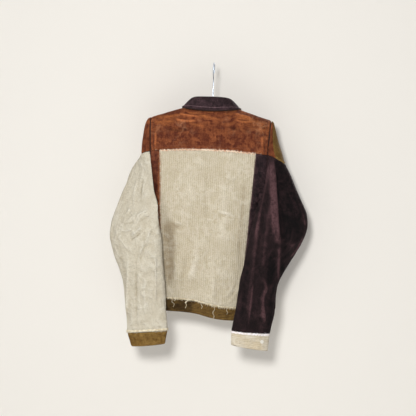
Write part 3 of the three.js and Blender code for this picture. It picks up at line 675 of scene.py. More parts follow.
# %% Yoke
def yoke_grid(columns=151, rows=61):
    u, v = grid(columns, rows)
    column = u * 18 - 9
    turn = np.minimum(np.abs(column) / 5, 1) * math.pi / 2
    outside = np.maximum(0, np.abs(column) - 5) / 4
    edge = armhole(mix(SHOULDER_SEAM_STEP, SEAM_STEP, v))
    reach = mix(NECK_HALF * np.sin(turn), ARMHOLE_TOP_X, outside) / ARMHOLE_TOP_X
    x = -np.sign(column) * reach * (edge[..., 0] - SEAM_GAP / 2)
    top = np.where(outside > 0, shoulder_seam_arc(reach * ARMHOLE_TOP_X), neck_arc(turn))
    bottom = arc_at(x, yoke_seam(x)) - SEAM_GAP / 2
    first, last = armhole(SHOULDER_SEAM_STEP), armhole(SEAM_STEP)
    start = -arc_at(first[0], first[2])
    along = arc_at(edge[..., 0], edge[..., 2])
    now = np.where(edge[..., 1] > 0, -along, along)
    part = (now - start) / (arc_at(last[0], last[2]) - start)
    return body_point(x, mix(top + SEAM_GAP / 2, bottom, part))


YOKE_FOLDS = [
    ([(-105, -152), (-60, -159), (-15, -161)], 5, 1.6),
    ([(-112, -168), (-73, -175), (-29, -173)], 6, 1.8),
    ([(-140, -196), (-95, -203), (-40, -198)], 8, -1.2),
    ([(59, -147), (98, -154), (133, -165)], 5, 1.6),
    ([(66, -164), (99, -172), (143, -170)], 5, 1.4),
    ([(40, -188), (95, -196), (140, -205)], 8, -1.2),
    ([(17, -169), (20, -213), (21, -251)], 4, 0.7),
    ([(-160, -200), (-158, -232), (-161, -260)], 6, 1.4),
    ([(158, -200), (157, -232), (161, -262)], 6, 1.4),
]


cloth("back_yoke", yoke_grid(), folded(YOKE_FOLDS, wider=0.75, higher=2.6), edges="lrb",
      soft=1.1, pucker=1.6, seed=11)

# %% [markdown]
# ## Back panel and side strips
#
# The cream panel is wide-wale corduroy, about six millimetres to the wale, so its ribs are real ridges in
# the sheet and not only a finish. It narrows towards the hem. Each dark side strip runs from the panel's
# raw edge out to the armhole and, below it, to the side seam.

# %% Panel
def panel_edge(z, right):
    part = (YOKE_CENTRE - z) / (YOKE_CENTRE - HEM)
    return mix(141.0, 110.0, part) if right else mix(-146.0, -128.0, part)


def row_height(x, v):
    return mix(yoke_seam(x) - SEAM_GAP / 2, hem_back(x) + BAND_HEIGHT + BAND_GAP, v)


def row_edge(v, right):
    return panel_edge(mix(YOKE_CENTRE, HEM + BAND_HEIGHT, v), right)


def panel_grid(columns=361, rows=86):
    u, v = grid(columns, rows)
    x = mix(row_edge(v, True) - SEAM_GAP / 2, row_edge(v, False) + SEAM_GAP / 2, u)
    return body_point(x, arc_at(x, row_height(x, v)))


PANEL_FOLDS = [
    ([(-110, -459), (-88, -472), (-58, -487)], 4.5, 2.2),
    ([(-104, -476), (-84, -487), (-60, -499)], 5, -1.6),
    ([(18, -436), (48, -439), (72, -445), (95, -451)], 3.5, 2.0),
    ([(24, -446), (55, -450), (90, -460)], 4, -1.6),
    ([(46, -329), (65, -335), (83, -338)], 3.5, 1.3),
    ([(-13, -542), (-24, -585), (-37, -624), (-48, -663)], 12, 2.2),
    ([(110, -661), (91, -692), (71, -714)], 4, 1.6),
    ([(97, -638), (84, -669), (58, -700)], 4, 1.4),
    ([(-120, -455), (-108, -559), (-100, -678)], 13, -3.0),
    ([(60, -300), (48, -380), (52, -480), (40, -600)], 22, 1.6),
    ([(-60, -300), (-52, -400), (-66, -520)], 24, 1.4),
    ([(-80, -560), (-76, -620), (-84, -690)], 14, 1.8),
    ([(20, -620), (30, -660), (28, -705)], 10, 1.6),
]

# Painted shade along the panel's folds and hollows, and one painted highlight on a bulge low in the middle.
PANEL_PAINTED_SHADING = [
    ([(-100, -420), (-100, -520), (-96, -620), (-92, -700)], 20, -0.5),
    ([(-56, -560), (-64, -620), (-72, -690)], 18, -0.4),
    ([(0, -300), (-4, -400), (6, -500)], 9, -0.3),
    ([(22, -280), (26, -380), (30, -480)], 6, -0.25),
    ([(112, -300), (108, -400), (104, -500), (100, -640)], 10, -0.4),
    ([(60, -640), (84, -670), (104, -690)], 10, -0.35),
    ([(-30, -600), (-10, -650), (10, -690)], 18, 0.25),
]


def panel_painted_shading(points, out):
    return press(points, 1.0, PANEL_PAINTED_SHADING)


cloth("back_panel", panel_grid(), folded(PANEL_FOLDS, higher=1.4), edges="tb",
      wale=(6.0, 0.24), soft=1.9, pucker=1.6, seed=23, painted_tone=panel_painted_shading)

# %% [markdown]
# Each side strip follows the panel on one side and the armhole and side seam on the other. Its columns turn
# with the body's oval, so they stay evenly wide where the body rounds away. They could be cut out of one
# wide sheet, but a strip of its own keeps its own grain, colour and seams.

# %% Side strips
def side_edge(row, armhole_rows, bottom, first, direction):
    upper = armhole(first + direction * np.minimum(row, armhole_rows))
    z = mix(UNDERARM, bottom, np.clip((row - armhole_rows) / 6, 0, 1))
    lower = np.stack([half_width(z), np.zeros_like(z), z], -1)
    return np.where((row <= armhole_rows)[..., None], upper, lower)


def turned_x(inner, outer, width, part):
    power = SQUARENESS / 2
    first = np.arcsin(np.minimum(1, inner / width) ** power)
    last = np.arcsin(np.minimum(1, outer / width) ** power)
    return width * np.sin(mix(first, last, part)) ** (1 / power)


def strip_grid(side, columns=41, rows=101):
    u, v = grid(columns, rows)
    across = u if side < 0 else 1 - u
    bottom = hem_back(side * HEM_HALF) + BAND_HEIGHT + BAND_GAP
    edge = side_edge(v * 15, 9, bottom, SEAM_STEP, 1)
    inner = side * row_edge(v, side > 0) + SEAM_GAP / 2
    width = half_width(edge[..., 2])
    x = turned_x(inner, edge[..., 0], width, across)
    sag = row_height(side * x, 1) - mix(row_height(side * inner, 1), bottom, across)
    z = mix(row_height(side * inner, v), edge[..., 2] - SEAM_GAP / 2 * (v == 0), across) + sag * v ** 4
    return np.stack([side * x, -mix(0.8, depth(z, True), rounding(x / width)), z], -1)


LEFT_STRIP_FOLDS = [
    ([(-150, -300), (-146, -380), (-142, -430)], 5, 1.2),
    ([(-160, -330), (-152, -420), (-146, -520)], 7, -1.8),
]
RIGHT_STRIP_FOLDS = [
    ([(148, -300), (146, -380), (143, -440)], 5, 1.2),
    ([(158, -330), (152, -420), (142, -520)], 7, -1.8),
]
cloth("back_side_left", strip_grid(-1), folded(LEFT_STRIP_FOLDS), edges="lrt", middle=1.0,
      seed=31, soft=1.2, pucker=1.3)
cloth("back_side_right", strip_grid(1), folded(RIGHT_STRIP_FOLDS), edges="lrt", middle=0.0,
      seed=37, soft=1.2, pucker=1.3)

# %% [markdown]
# ## Fronts and waistband
#
# The two fronts meet at the middle, the left one lapping over the right. Nothing behind shows them, but a
# jacket has to be whole from every side, so they get the same treatment. The waistband is one strip of
# olive corduroy with its wales running round the body.

# %% Fronts
def underlap(x):
    return UNDERLAP * (1 - ease(x, 14, 36))


def front_grid(side, columns=91, rows=121):
    u, v = grid(columns, rows)
    column = (u if side > 0 else 1 - u) * 10
    bottom = hem_back(side * HEM_HALF) + BAND_HEIGHT + BAND_GAP
    first = armhole(SHOULDER_SEAM_STEP)
    first_arc = arc_at(first[0], first[2]) + 0.8
    last_arc = arc_at(half_width(bottom), bottom)
    neck_x = mix(-12.0, NECK_HALF, np.sin(np.minimum(1, column / 5) * math.pi / 2))
    outside = np.sin(np.maximum(0, column - 5) / 5 * math.pi / 2)
    top_x = mix(neck_x, first[0], outside)
    neck_turn = math.pi - np.arcsin(np.minimum(1, np.abs(neck_x) / NECK_HALF))
    top_arc = np.where(outside > 0, shoulder_seam_arc(top_x), neck_arc(neck_turn))
    edge = side_edge(v * 20, 14, bottom, SHOULDER_SEAM_STEP, -1)
    x = edge[..., 0] * top_x / first[0]
    part = np.clip((arc_at(edge[..., 0], edge[..., 2]) - first_arc) / (last_arc - first_arc), 0, None)
    bottom_arc = arc_at(x, hem_front(side * x) + BAND_HEIGHT + BAND_GAP)
    width = half_width(edge[..., 2])
    point = body_point(x, mix(top_arc - 0.8, -bottom_arc, part), width)
    gap = 0.8 * (1 - rounding(x / width))
    under = underlap(x) if side > 0 else 0
    return np.stack([side * x, point[..., 1] + gap - under, point[..., 2]], -1)


def front_folds(side):
    return [
        ([(side * 120, -180), (side * 100, -230), (side * 70, -270)], 8, 1.8),
        ([(side * 60, -200), (side * 64, -330), (side * 56, -470)], 16, 2.0),
        ([(side * 120, -420), (side * 112, -540), (side * 104, -680)], 14, -2.6),
        ([(side * 90, -560), (side * 84, -620), (side * 88, -700)], 12, 2.0),
        ([(side * 40, -500), (side * 44, -600), (side * 36, -700)], 14, 1.4),
        ([(side * 165, -430), (side * 130, -450), (side * 95, -480)], 5, 1.8),
        ([(side * 168, -450), (side * 138, -475), (side * 110, -510)], 5, 1.5),
    ]


cloth("front_left", front_grid(-1), folded(front_folds(-1), forwards), edges="lrt",
      seed=41, soft=1.2)
cloth("front_right", front_grid(1), folded(front_folds(1), forwards), edges="lrt",
      seed=43, soft=1.2)

# %% [markdown]
# The waistband is one strip that runs right round and laps over itself at the front. Its columns go round by
# angle, which spaces them evenly at the sharp turns of the sides. It is darkest at the left.

# %% Waistband
def band_grid(columns=361, rows=15):
    u, v = grid(columns, rows)
    power = 2 / SQUARENESS
    lap = math.asin((FRONT_LAP / HEM_HALF) ** (1 / power))
    turn = mix(2 * math.pi + lap, -lap, u)
    sine, cosine = np.sin(turn), np.cos(turn)
    across = -np.sign(sine) * np.abs(sine) ** power
    hem = np.where(cosine < 0, hem_back(across * HEM_HALF), hem_front(across * HEM_HALF))
    z = mix(hem + BAND_HEIGHT - BAND_GAP, hem, v)
    x = across * half_width(z)
    under = np.where((u < 0.5) & (cosine > 0), underlap(x), 0)
    reach = depth(z, cosine < 0) * np.abs(cosine) ** power
    return np.stack([x, np.sign(cosine) * reach - under, z], -1)


def band_lift(points, out):
    x, z = points[..., 0], points[..., 2]
    wave = unevenness(x + 700 * (out[..., 1] > 0), z * 0.3, 24, 57)
    return 0.9 * wave * backwards(np.abs(out) * [0, -1, 0], 0, 0.4)


def band_dark_left_and_painted_shadow(points, out):
    """The band is darkest at the left, and a painted shadow darkens it just under the panel's fringe."""
    back = backwards(out, 0, 0.3)
    left = ridge(points, back, [(-150, -716), (-110, -716), (-60, -720), (-20, -726)], 30, -0.9, ends=0.2)
    under = ridge(points, back, [(-140, -702), (-40, -706), (60, -714), (140, -712)], 5, -0.5, ends=0.1)
    return left + under


cloth("waistband", band_grid(), band_lift, edges="tb", seed=53, soft=0.8, pucker=1.5,
      painted_tone=band_dark_left_and_painted_shadow)

# %% [markdown]
# ## Collar
#
# A shirt collar has a stand round the neck and a fall turned down over it. Both are cut from dark plum. At
# the back the fall's lower edge bows down in the middle and stands a few millimetres off the yoke.

# %% Collar
FOLD_TOP = -100.0
FOLD_FALL = 56.0
FALL_CLEARANCE = 5.6


def neck_point(turn):
    return body_point(NECK_HALF * np.sin(turn), neck_arc(turn))


def fold_point(turn):
    neck = neck_point(turn)
    level = FOLD_TOP - FOLD_FALL * ((1 - np.cos(turn)) / 2) ** 2
    return np.stack([neck[..., 0] * 0.8, neck[..., 1] - 3, level], -1)


def body_top(x, y, clearance):
    top = crest(x)
    reach = depth(top, y < 0) * rounding(x / CHEST_HALF) + clearance
    part = np.abs(y) / reach
    drop = SHOULDER_DROP + clearance
    surface = top + clearance - drop * (1 - np.sqrt(np.clip(1 - part * part, 0, 1)))
    return np.where(part < 1, surface, -1e4)


def stand_grid(columns=121, rows=9):
    u, v = grid(columns, rows)
    turn = np.radians(mix(170.0, -170.0, u))
    foot = neck_point(turn) + [0, 0, 1.6]
    top = fold_point(turn)
    set_back = np.stack([-2.8 * np.sin(turn), 2.8 * np.cos(turn), np.full_like(turn, -1.0)], -1)
    return mix(top + set_back, foot, v[..., None])


def fall_grid(columns=181, rows=25):
    u, v = grid(columns, rows)
    turn = np.radians(mix(170.0, -170.0, u))
    fold = fold_point(turn)
    ahead = np.cos(turn)
    at_back, at_front = np.clip(ahead, 0, 1), np.clip(-ahead, 0, 1)
    reach = 26 - 9 * at_back - 6 * at_front
    drop = 21 + 19 * at_back + 35 * at_front ** 2.2
    x = fold[..., 0] + np.sin(turn) * reach * v
    y = fold[..., 1] - ahead * reach * v
    z = np.maximum(fold[..., 2] - drop * v ** 1.35, body_top(x, y, FALL_CLEARANCE))
    return np.stack([x, y, z], -1)


FALL_FOLDS = [
    ([(-50, -112), (-10, -116), (40, -112)], 5, 0.9),
    ([(-70, -124), (-20, -131), (30, -130)], 4, 0.7),
    ([(-24, -104), (-20, -118), (-22, -134)], 5, 0.8),
    ([(34, -104), (38, -118), (40, -132)], 5, 0.8),
]
cloth("collar_stand", stand_grid(), edges="tb", seed=61, soft=0.3, pucker=0.3)
cloth("collar_fall", fall_grid(), folded(FALL_FOLDS, low=-0.2), edges="lrb",
      seed=67, soft=0.7, pucker=0.6)

# %% [markdown]
# ## Sleeves
#
# Each sleeve hangs bent a little at the elbow, close against the body's side and a bit behind it. Its levels
# are flattened rings: an outer fold, an inner fold, and how far the back and front swell between them. The
# cap above is a part of its own. On the wearer's right its front half is patched in olive.

# %% Sleeve forms
ARM_OUT = 1.9


def cap_seam(step, shape):
    part = step / SEAM_STEP
    end = armhole(np.sign(part) * SEAM_STEP)
    turn = np.abs(part) * math.pi / 2
    out = np.maximum(np.cos(turn), 0)
    full = shape["full"] * np.sin(2 * turn)
    return np.stack([mix(end[..., 0], shape["outer"][0], out) + full * 0.4,
                     end[..., 1] * np.sin(turn) * (1 + 0.1 * out) - np.sign(part) * full,
                     mix(end[..., 2], shape["outer"][1], out ** 1.4)], -1)


def cap_grid(side, shape, first, last, columns=61, rows=31):
    """first and last are (armhole step, seam step, gap) at the cap's two sides."""
    u, v = grid(columns, rows)
    across = u if side > 0 else 1 - u
    step = mix(first[0], last[0], across)
    top = armhole(step)
    seam = cap_seam(mix(first[1], last[1], across), shape)
    middle = np.cos(step * 2 * math.pi / ARMHOLE_STEPS) ** 2
    drop = (top[..., 2] - seam[..., 2]) * 0.45
    around = step * math.pi / (2 * SEAM_STEP)
    out = shape["spread"] * middle
    away = top + np.stack([out * np.cos(around), -out * np.sin(around) * 0.6, -0.25 * out], -1)
    low = np.stack([seam[..., 0] - shape["flare"] * drop * middle, seam[..., 1], seam[..., 2] + drop], -1)
    t = v[..., None]
    point = top * (1 - t) ** 3 + 3 * away * t * (1 - t) ** 2 + 3 * low * t ** 2 * (1 - t) + seam * t ** 3
    gap = np.where(across <= 0, -first[2], np.where(across >= 1, last[2], 0))
    return np.stack([side * (point[..., 0] + ARM_OUT), point[..., 1] + gap, point[..., 2]], -1)


def ring(level, angle):
    """A flattened ring: level holds its outer fold, inner fold, back swell and front swell."""
    outer, inner, back, ahead = (np.asarray(part, float) for part in level)
    sine = np.sin(angle)[..., None]
    swell = np.where(sine > 0, back, ahead) * np.abs(sine)
    swell = np.concatenate([swell, np.zeros(sine.shape)], -1)
    return (outer + inner) / 2 + (outer - inner) / 2 * np.cos(angle)[..., None] + swell


def sleeve_grid(side, shape, columns=129, rows=131):
    u, v = grid(columns, rows)
    turn = (u + 0.5) % 1 if side > 0 else (1.5 - u) % 1
    step = turn * ARMHOLE_STEPS
    angle = turn * 2 * math.pi
    wrapped = np.where(step > ARMHOLE_STEPS / 2, step - ARMHOLE_STEPS, step)
    top = np.where((np.abs(wrapped) <= SEAM_STEP)[..., None], cap_seam(wrapped, shape), armhole(wrapped))
    top = top - [0, 0, 1.5]
    knots = np.stack([top[0]] + [ring(level, angle[0]) for level in shape["levels"]])
    count = len(knots)
    padded = np.concatenate([2 * knots[:1] - knots[1:2], knots, 2 * knots[-1:] - knots[-2:-1]])
    gaps = np.maximum(np.linalg.norm(np.diff(padded, axis=0), axis=2) ** 0.5, 1e-4)
    place = v[:, 0] * (count - 1)
    i = np.minimum(place.astype(int), count - 2)
    t = (place - i)[:, None, None]
    a, b, c, d = (padded[i + k] for k in range(4))
    g0, g1, g2 = (gaps[i + k] for k in range(3))
    g0, g1, g2 = g0[..., None], g1[..., None], g2[..., None]
    start = ((b - a) / g0 - (c - a) / (g0 + g1) + (c - b) / g1) * g1
    end = ((c - b) / g1 - (d - b) / (g1 + g2) + (d - c) / g2) * g1
    point = (b * (2 * t ** 3 - 3 * t ** 2 + 1) + start * (t ** 3 - 2 * t ** 2 + t)
             + c * (3 * t ** 2 - 2 * t ** 3) + end * (t ** 3 - t ** 2))
    return np.stack([side * (point[..., 0] + ARM_OUT * (1 - v)), point[..., 1], point[..., 2]], -1)


def cuff_grid(side, shape, columns=129, rows=15):
    u, v = grid(columns, rows)
    angle = ((u + 0.5) if side > 0 else (1.5 - u)) * 2 * math.pi
    top = ring(shape["levels"][-1], angle) - [0, 0, 1.6]
    point = mix(top, ring(shape["cuff"], angle), v[..., None])
    return point * [side, 1, 1]


RIGHT = {
    "outer": (224, -290), "spread": 14, "flare": 0.42, "full": 3,
    "levels": [
        ((240, -5, -325), (197, -30, -426), (-52, -48), (18, 50)),
        ((268, -12, -385), (176, -52, -442), (-60, -46), (20, 45)),
        ((292, -18, -440), (150, -72, -470), (-40, -40), (25, 40)),
        ((297, -22, -480), (134, -82, -505), (-15, -36), (15, 36)),
        ((284, -30, -525), (126, -86, -545), (-8, -34), (10, 32)),
        ((253, -42, -580), (119, -88, -590), (-5, -32), (5, 28)),
        ((222, -58, -645), (110, -90, -645), (-2, -28), (3, 24)),
        ((216, -66, -716), (102, -90, -712), (0, -25), (0, 20)),
        ((203, -72, -790), (92, -90, -784), (0, -20), (0, 17)),
    ],
    "cuff": ((200, -74, -841), (92, -90, -826), (0, -19), (0, 16)),
}
LEFT = {
    "outer": (204, -277), "spread": 22, "flare": 0.05, "full": 3,
    "levels": [
        ((230, -5, -325), (197, -30, -426), (-58, -48), (18, 50)),
        ((250, -12, -385), (172, -52, -442), (-60, -46), (20, 45)),
        ((270, -18, -440), (148, -72, -468), (-42, -40), (25, 40)),
        ((288, -22, -492), (131, -80, -500), (-15, -36), (15, 36)),
        ((286, -28, -535), (124, -84, -545), (-8, -34), (10, 32)),
        ((268, -38, -590), (118, -87, -598), (-5, -32), (5, 28)),
        ((242, -52, -656), (111, -89, -660), (-2, -28), (3, 24)),
        ((227, -64, -735), (104, -90, -728), (0, -25), (0, 20)),
        ((218, -72, -808), (97, -92, -792), (0, -20), (0, 17)),
    ],
    "cuff": ((206, -74, -849), (103, -92, -833), (0, -19), (0, 16)),
}

# %% [markdown]
# The right sleeve has one strong ridge from the seam down past the elbow, with a hollow beside it. Painted
# shade deepens the hollows and painted highlights lighten a few edges, on top of the relief. The folds on
# its hidden side are of the same kind.

# %% Right sleeve, cap and cuff
RIGHT_FOLDS = [
    ([(192, -262), (196, -309), (202, -367), (211, -440), (219, -498), (231, -530)], 8, 7.5, 0.5),
    ([(202, -268), (207, -312), (214, -370), (223, -440), (231, -496), (242, -528)], 7, -6.5, 1.0),
    ([(228, -515), (223, -560), (222, -610), (221, -660)], 6, 5.5, 0.6),
    ([(232, -555), (231, -600), (229, -650)], 5, -3.0, 1.0),
    ([(175, -607), (189, -651), (180, -683), (185, -733), (194, -768)], 6, 4.5, 0.8),
    ([(253, -357), (264, -410), (284, -459)], 7, 3.0, 1.0),
    ([(166, -397), (158, -499), (145, -602), (140, -691), (137, -764)], 10, 2.6, 1.0),
    ([(189, -396), (181, -484), (178, -557), (175, -607)], 9, 2.4, 1.0),
    ([(176, -420), (168, -500), (160, -600)], 8, -2.2, 1.0),
    ([(219, -616), (221, -689), (209, -743)], 6, -2.4, 1.0),
    ([(258, -470), (250, -520), (244, -560)], 9, 2.6, 1.0),
    ([(286, -505), (262, -525), (240, -545)], 6, 2.4, 1.0),
    ([(150, -720), (165, -735), (192, -728)], 6, 1.8, 1.0),
]
HIDDEN_FOLDS = [
    ([(200, -330), (215, -400), (225, -470)], 10, 3.0, 1.0),
    ([(272, -470), (245, -490), (215, -498)], 7, 3.2, 1.0),
    ([(266, -500), (240, -520), (205, -530)], 7, 3.0, 1.0),
    ([(190, -520), (180, -610), (170, -720)], 10, 2.8, 1.0),
    ([(150, -560), (146, -650), (140, -740)], 9, -2.2, 1.0),
]


def sleeve_lift(folds, side):
    hidden = [([(side * x, z) for x, z in path], width, height, lean)
              for path, width, height, lean in HIDDEN_FOLDS]

    def lift(points, out):
        back, ahead = backwards(out, -0.05, 0.35), forwards(out, -0.05, 0.35)
        seen = sum(ridge(points, back, *fold, ends=0.22) for fold in folds)
        return seen + sum(ridge(points, ahead, *fold) for fold in hidden)
    return lift


# Painted shading: negative paths are painted shade in the hollows, positive ones painted highlights on edges.
RIGHT_PAINTED_SHADING = [
    ([(214, -268), (226, -330), (238, -400), (250, -470), (256, -530)], 20, -1.6),
    ([(246, -330), (266, -400), (276, -460), (262, -520)], 16, -1.0),
    ([(240, -520), (238, -580), (234, -650)], 14, -1.3),
    ([(230, -306), (258, -372), (286, -440), (295, -482)], 3.5, 1.0),
    ([(290, -500), (276, -535), (250, -572)], 3.0, 0.9),
    ([(178, -290), (172, -360), (160, -440), (148, -520)], 4, 0.35),
    ([(190, -300), (192, -360), (198, -430), (205, -490)], 4, 0.35),
    ([(206, -540), (200, -600), (196, -660)], 10, -0.9),
    ([(140, -560), (128, -650), (112, -760)], 8, -0.7),
    ([(200, -560), (206, -640), (204, -720), (198, -780)], 8, -0.9),
    ([(150, -640), (146, -700), (140, -780)], 3, 0.35),
]


def cuff_lift(points, out):
    x, z = points[..., 0], points[..., 2]
    return 0.9 * unevenness(x + 500 * (out[..., 1] > 0), z * 0.4, 15, 91)


cloth("sleeve_right", sleeve_grid(1, RIGHT), sleeve_lift(RIGHT_FOLDS, 1),
      closed=True, edges="t", seed=71, soft=1.8, pucker=1.5,
      painted_tone=folded(RIGHT_PAINTED_SHADING, low=-0.2, high=0.2, ends=0.15))
cloth("sleeve_cap_right_patch", cap_grid(1, RIGHT, (-6, -7, 0), (1, 5, 0.4)),
      edges="lrtb", seed=73, soft=0.9)
cloth("sleeve_cap_right", cap_grid(1, RIGHT, (1, 5, 0.4), (6, 7, 0), columns=31),
      edges="lrtb", seed=74, soft=0.7, slanting=True)
cloth("cuff_right", cuff_grid(1, RIGHT), cuff_lift, closed=True, edges="tb", seed=75,
      soft=0.7)

# %% [markdown]
# The left sleeve is pale, so its folds show by their shadows. They are thin and crossed at the elbow, and the
# sheet is divided more finely here to hold them. Each sheet then gets its finish.

# %% Left sleeve, cap and cuff
LEFT_FOLDS = [
    ([(-222, -575), (-222, -667), (-221, -760)], 4.3, 5.2, 1.0),
    ([(-219, -522), (-203, -508), (-183, -490)], 2.2, 5.2, 0.8),
    ([(-222, -536), (-205, -524), (-184, -506)], 2.2, -3.9, 1.0),
    ([(-255, -474), (-236, -454), (-220, -436)], 2.2, 4.2, 1.0),
    ([(-258, -503), (-234, -507), (-211, -500)], 2.2, 4.2, 1.0),
    ([(-246, -488), (-228, -484), (-210, -478)], 2.2, -3.4, 1.0),
    ([(-236, -430), (-226, -450), (-205, -464)], 2.2, 3.4, 1.0),
    ([(-206, -463), (-187, -451), (-161, -436)], 2.2, 4.7, 1.0),
    ([(-200, -478), (-182, -468), (-160, -456)], 2.2, -3.6, 1.0),
    ([(-259, -528), (-239, -543), (-224, -565)], 2.2, 4.2, 1.0),
    ([(-213, -345), (-217, -399), (-213, -445)], 3.2, 3.9, 1.0),
    ([(-196, -340), (-197, -390), (-192, -430)], 2.9, -3.1, 1.0),
    ([(-150, -480), (-168, -530), (-187, -575), (-196, -640)], 3.2, 4.7, 1.0),
    ([(-170, -640), (-166, -700), (-160, -770)], 4.3, 3.1, 1.0),
    ([(-196, -620), (-194, -700), (-190, -780)], 3.6, -3.4, 1.0),
    ([(-140, -560), (-136, -640), (-132, -730)], 3.2, 2.6, 1.0),
]

# Painted shade along the left sleeve's elbow and inner folds.
LEFT_PAINTED_SHADE = [
    ([(-262, -520), (-246, -580), (-228, -650), (-222, -730)], 9, -0.45),
    ([(-150, -500), (-176, -560), (-196, -640), (-200, -720)], 7, -0.4),
    ([(-196, -300), (-206, -360), (-204, -420)], 8, -0.35),
    ([(-230, -440), (-250, -500)], 12, -0.3),
]

cloth("sleeve_left", sleeve_grid(-1, LEFT, 193, 197), sleeve_lift(LEFT_FOLDS, -1),
      closed=True, edges="t", seed=81, soft=2.0, pucker=1.2,
      painted_tone=folded(LEFT_PAINTED_SHADE, low=-0.2, high=0.2))
cloth("sleeve_cap_left", cap_grid(-1, LEFT, (-6, -7, 0), (6, 7, 0)), edges="lrtb",
      seed=83, soft=0.9)
cloth("cuff_left", cuff_grid(-1, LEFT), cuff_lift, closed=True, edges="tb", seed=85,
      soft=0.8)

for name, entry in sheets.items():
    entry["object"].data.materials.append(finishes[name])

# %% [markdown]
# ## Raw edges, fringes and stitches
#
# The seams were left raw on the outside, so their edges have washed into fringes. A fringe is a crowd of
# short bent threads along a line. Each thread here is a thin tapering ribbon of three faces, set a little
# off the cloth, and a whole fringe is one mesh. Topstitching is a row of short thread lengths that dip into
# the cloth between stitches.

# %% Places on the finished cloth
TAPER = 0.6
RISE = 0.12


def on_sheet(name, u, v, off=0.5):
    """Points and normals on a finished sheet, at parts u and v of its grid, off millimetres above it."""
    points, out = sheets[name]["points"], sheets[name]["normals"]
    rows, columns = points.shape[:2]
    a = np.clip(np.asarray(u, float), 0, 1) * (columns - 1)
    b = np.clip(np.asarray(v, float), 0, 1) * (rows - 1)
    i = np.minimum(a.astype(int), columns - 2)
    j = np.minimum(b.astype(int), rows - 2)
    p, q = (a - i)[..., None], (b - j)[..., None]

    def sample(values):
        near = mix(values[j, i], values[j, i + 1], p)
        return mix(near, mix(values[j + 1, i], values[j + 1, i + 1], p), q)
    normal = sample(out)
    normal = normal / np.linalg.norm(normal, axis=-1, keepdims=True)
    return sample(points) + normal * off, normal


def threads(name, roots, directions, facing, lengths, widths, curls, finish, bends=3):
    """Many thin bent ribbons as one mesh. Each runs from its root, and curls sideways by its curl."""
    side = np.cross(directions, facing)
    side = side / np.maximum(np.linalg.norm(side, axis=1, keepdims=True), 1e-6)
    lengths, widths, curls = lengths[:, None], widths[:, None], curls[:, None]
    place, heading = roots, directions
    rows = []
    for k in range(bends + 1):
        half = widths * (1 - TAPER * k / bends) / 2
        rows.append(np.stack([place - side * half, place + side * half], 1))
        heading = heading + side * curls / bends + facing * RISE / bends
        heading = heading / np.linalg.norm(heading, axis=1, keepdims=True)
        place = place + heading * lengths / bends
    return finish_trim(grid_mesh(name, np.stack(rows, 1)), finish)


def finish_trim(mesh, finish):
    mesh.materials.append(finish)
    piece = show(mesh.name, mesh)
    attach(piece, "root")
    print(f"{mesh.name}: {len(mesh.polygons)} faces")
    return piece


# %% [markdown]
# A stitch is a tiny roof-shaped bar. A row could be an array along a curve, but working out every place at
# once lets each stitch sit on the folded cloth, and keeps the whole row one mesh.

# %% Rows of stitches
def stitches(name, path, normal, slot, finish, length=3.4, gap=1.2, width=0.55, bow=0.35):
    """A row of stitches along a path of points. Each one is a small roof-shaped bar, raised in its middle."""
    path = np.asarray(path, float)
    far = np.concatenate([[0], np.cumsum(np.linalg.norm(np.diff(path, axis=0), axis=1))])

    def at(distance, values):
        return np.stack([np.interp(distance, far, values[:, k]) for k in range(3)], -1)
    starts = np.arange(0, far[-1] - length, length + gap)
    along = at(starts + length, path) - at(starts, path)
    rings = []
    for part, rise in ((0, -0.3), (0.3, bow), (0.7, bow), (1, -0.3)):
        up = at(starts + part * length, normal)
        side = np.cross(along, up)
        side = side / np.maximum(np.linalg.norm(side, axis=1, keepdims=True), 1e-6)
        centre = at(starts + part * length, path) + up * rise
        corners = [centre - side * width / 2, centre + up * width / 2, centre + side * width / 2]
        rings.append(np.stack(corners, 1))
    return finish_trim(grid_mesh(name, np.stack(rings, 1)), finish)


def fringe(name, sheet, u, v, away, count, length, width, finish, seed, spread=0.7, lift=0.3,
           jitter=1.5, curl=1.2):
    """Threads along a line on a sheet. away gives their mean direction; length is (shortest, longest)."""
    dice = np.random.default_rng(seed)
    t = np.sort(dice.uniform(0, 1, count))
    line = np.linspace(0, 1, len(np.atleast_1d(u)))
    places, normal = on_sheet(sheet, np.interp(t, line, u), np.interp(t, line, v), 0.5)
    places = places + dice.normal(0, jitter, places.shape) * [1, 0.2, 1]
    run = np.array(away, float) + dice.normal(0, spread, places.shape) * [1, 0.3, 1] + normal * lift
    run = run / np.linalg.norm(run, axis=1, keepdims=True)
    lengths = length[0] + (length[1] - length[0]) * dice.uniform(0, 1, count) ** 2
    widths = width * dice.uniform(0.7, 1.3, count)
    return threads(name, places, run, normal, lengths, widths, dice.normal(0, curl, count), finish)


# %% [markdown]
# Loose cotton is matt, and a little darker where it is dirty, so each of these finishes mixes two colours.

# %% Fringe and thread finishes
orange_fluff = plain("orange_fluff", srgb(178, 112, 70), 0.95, spot=srgb(126, 68, 42), size=160)
pink_fluff = plain("pink_fluff", srgb(240, 220, 196), 0.95, spot=srgb(204, 158, 128), size=140)
mauve_fluff = plain("mauve_fluff", srgb(120, 92, 92), 0.95, spot=srgb(64, 44, 48), size=160)
cream_fluff = plain("cream_fluff", srgb(228, 219, 196), 0.95, spot=srgb(196, 180, 148), size=160)
white_fluff = plain("white_fluff", srgb(240, 236, 240), 0.95, spot=srgb(222, 212, 206), size=120)
plum_thread = plain("plum_thread", srgb(138, 108, 114), 0.7)
rust_thread = plain("rust_thread", srgb(128, 68, 44), 0.7)
cream_thread = plain("cream_thread", srgb(206, 194, 166), 0.7)
olive_thread = plain("olive_thread", srgb(96, 66, 28), 0.7)
dark_thread = plain("dark_thread", srgb(40, 24, 24), 0.7)

# %% [markdown]
# The yoke seam carries the heaviest fringe: the cream panel's raw edge shows as a wavy pinkish band under
# the rust. It is a narrow frilled ribbon with threads along both its sides.

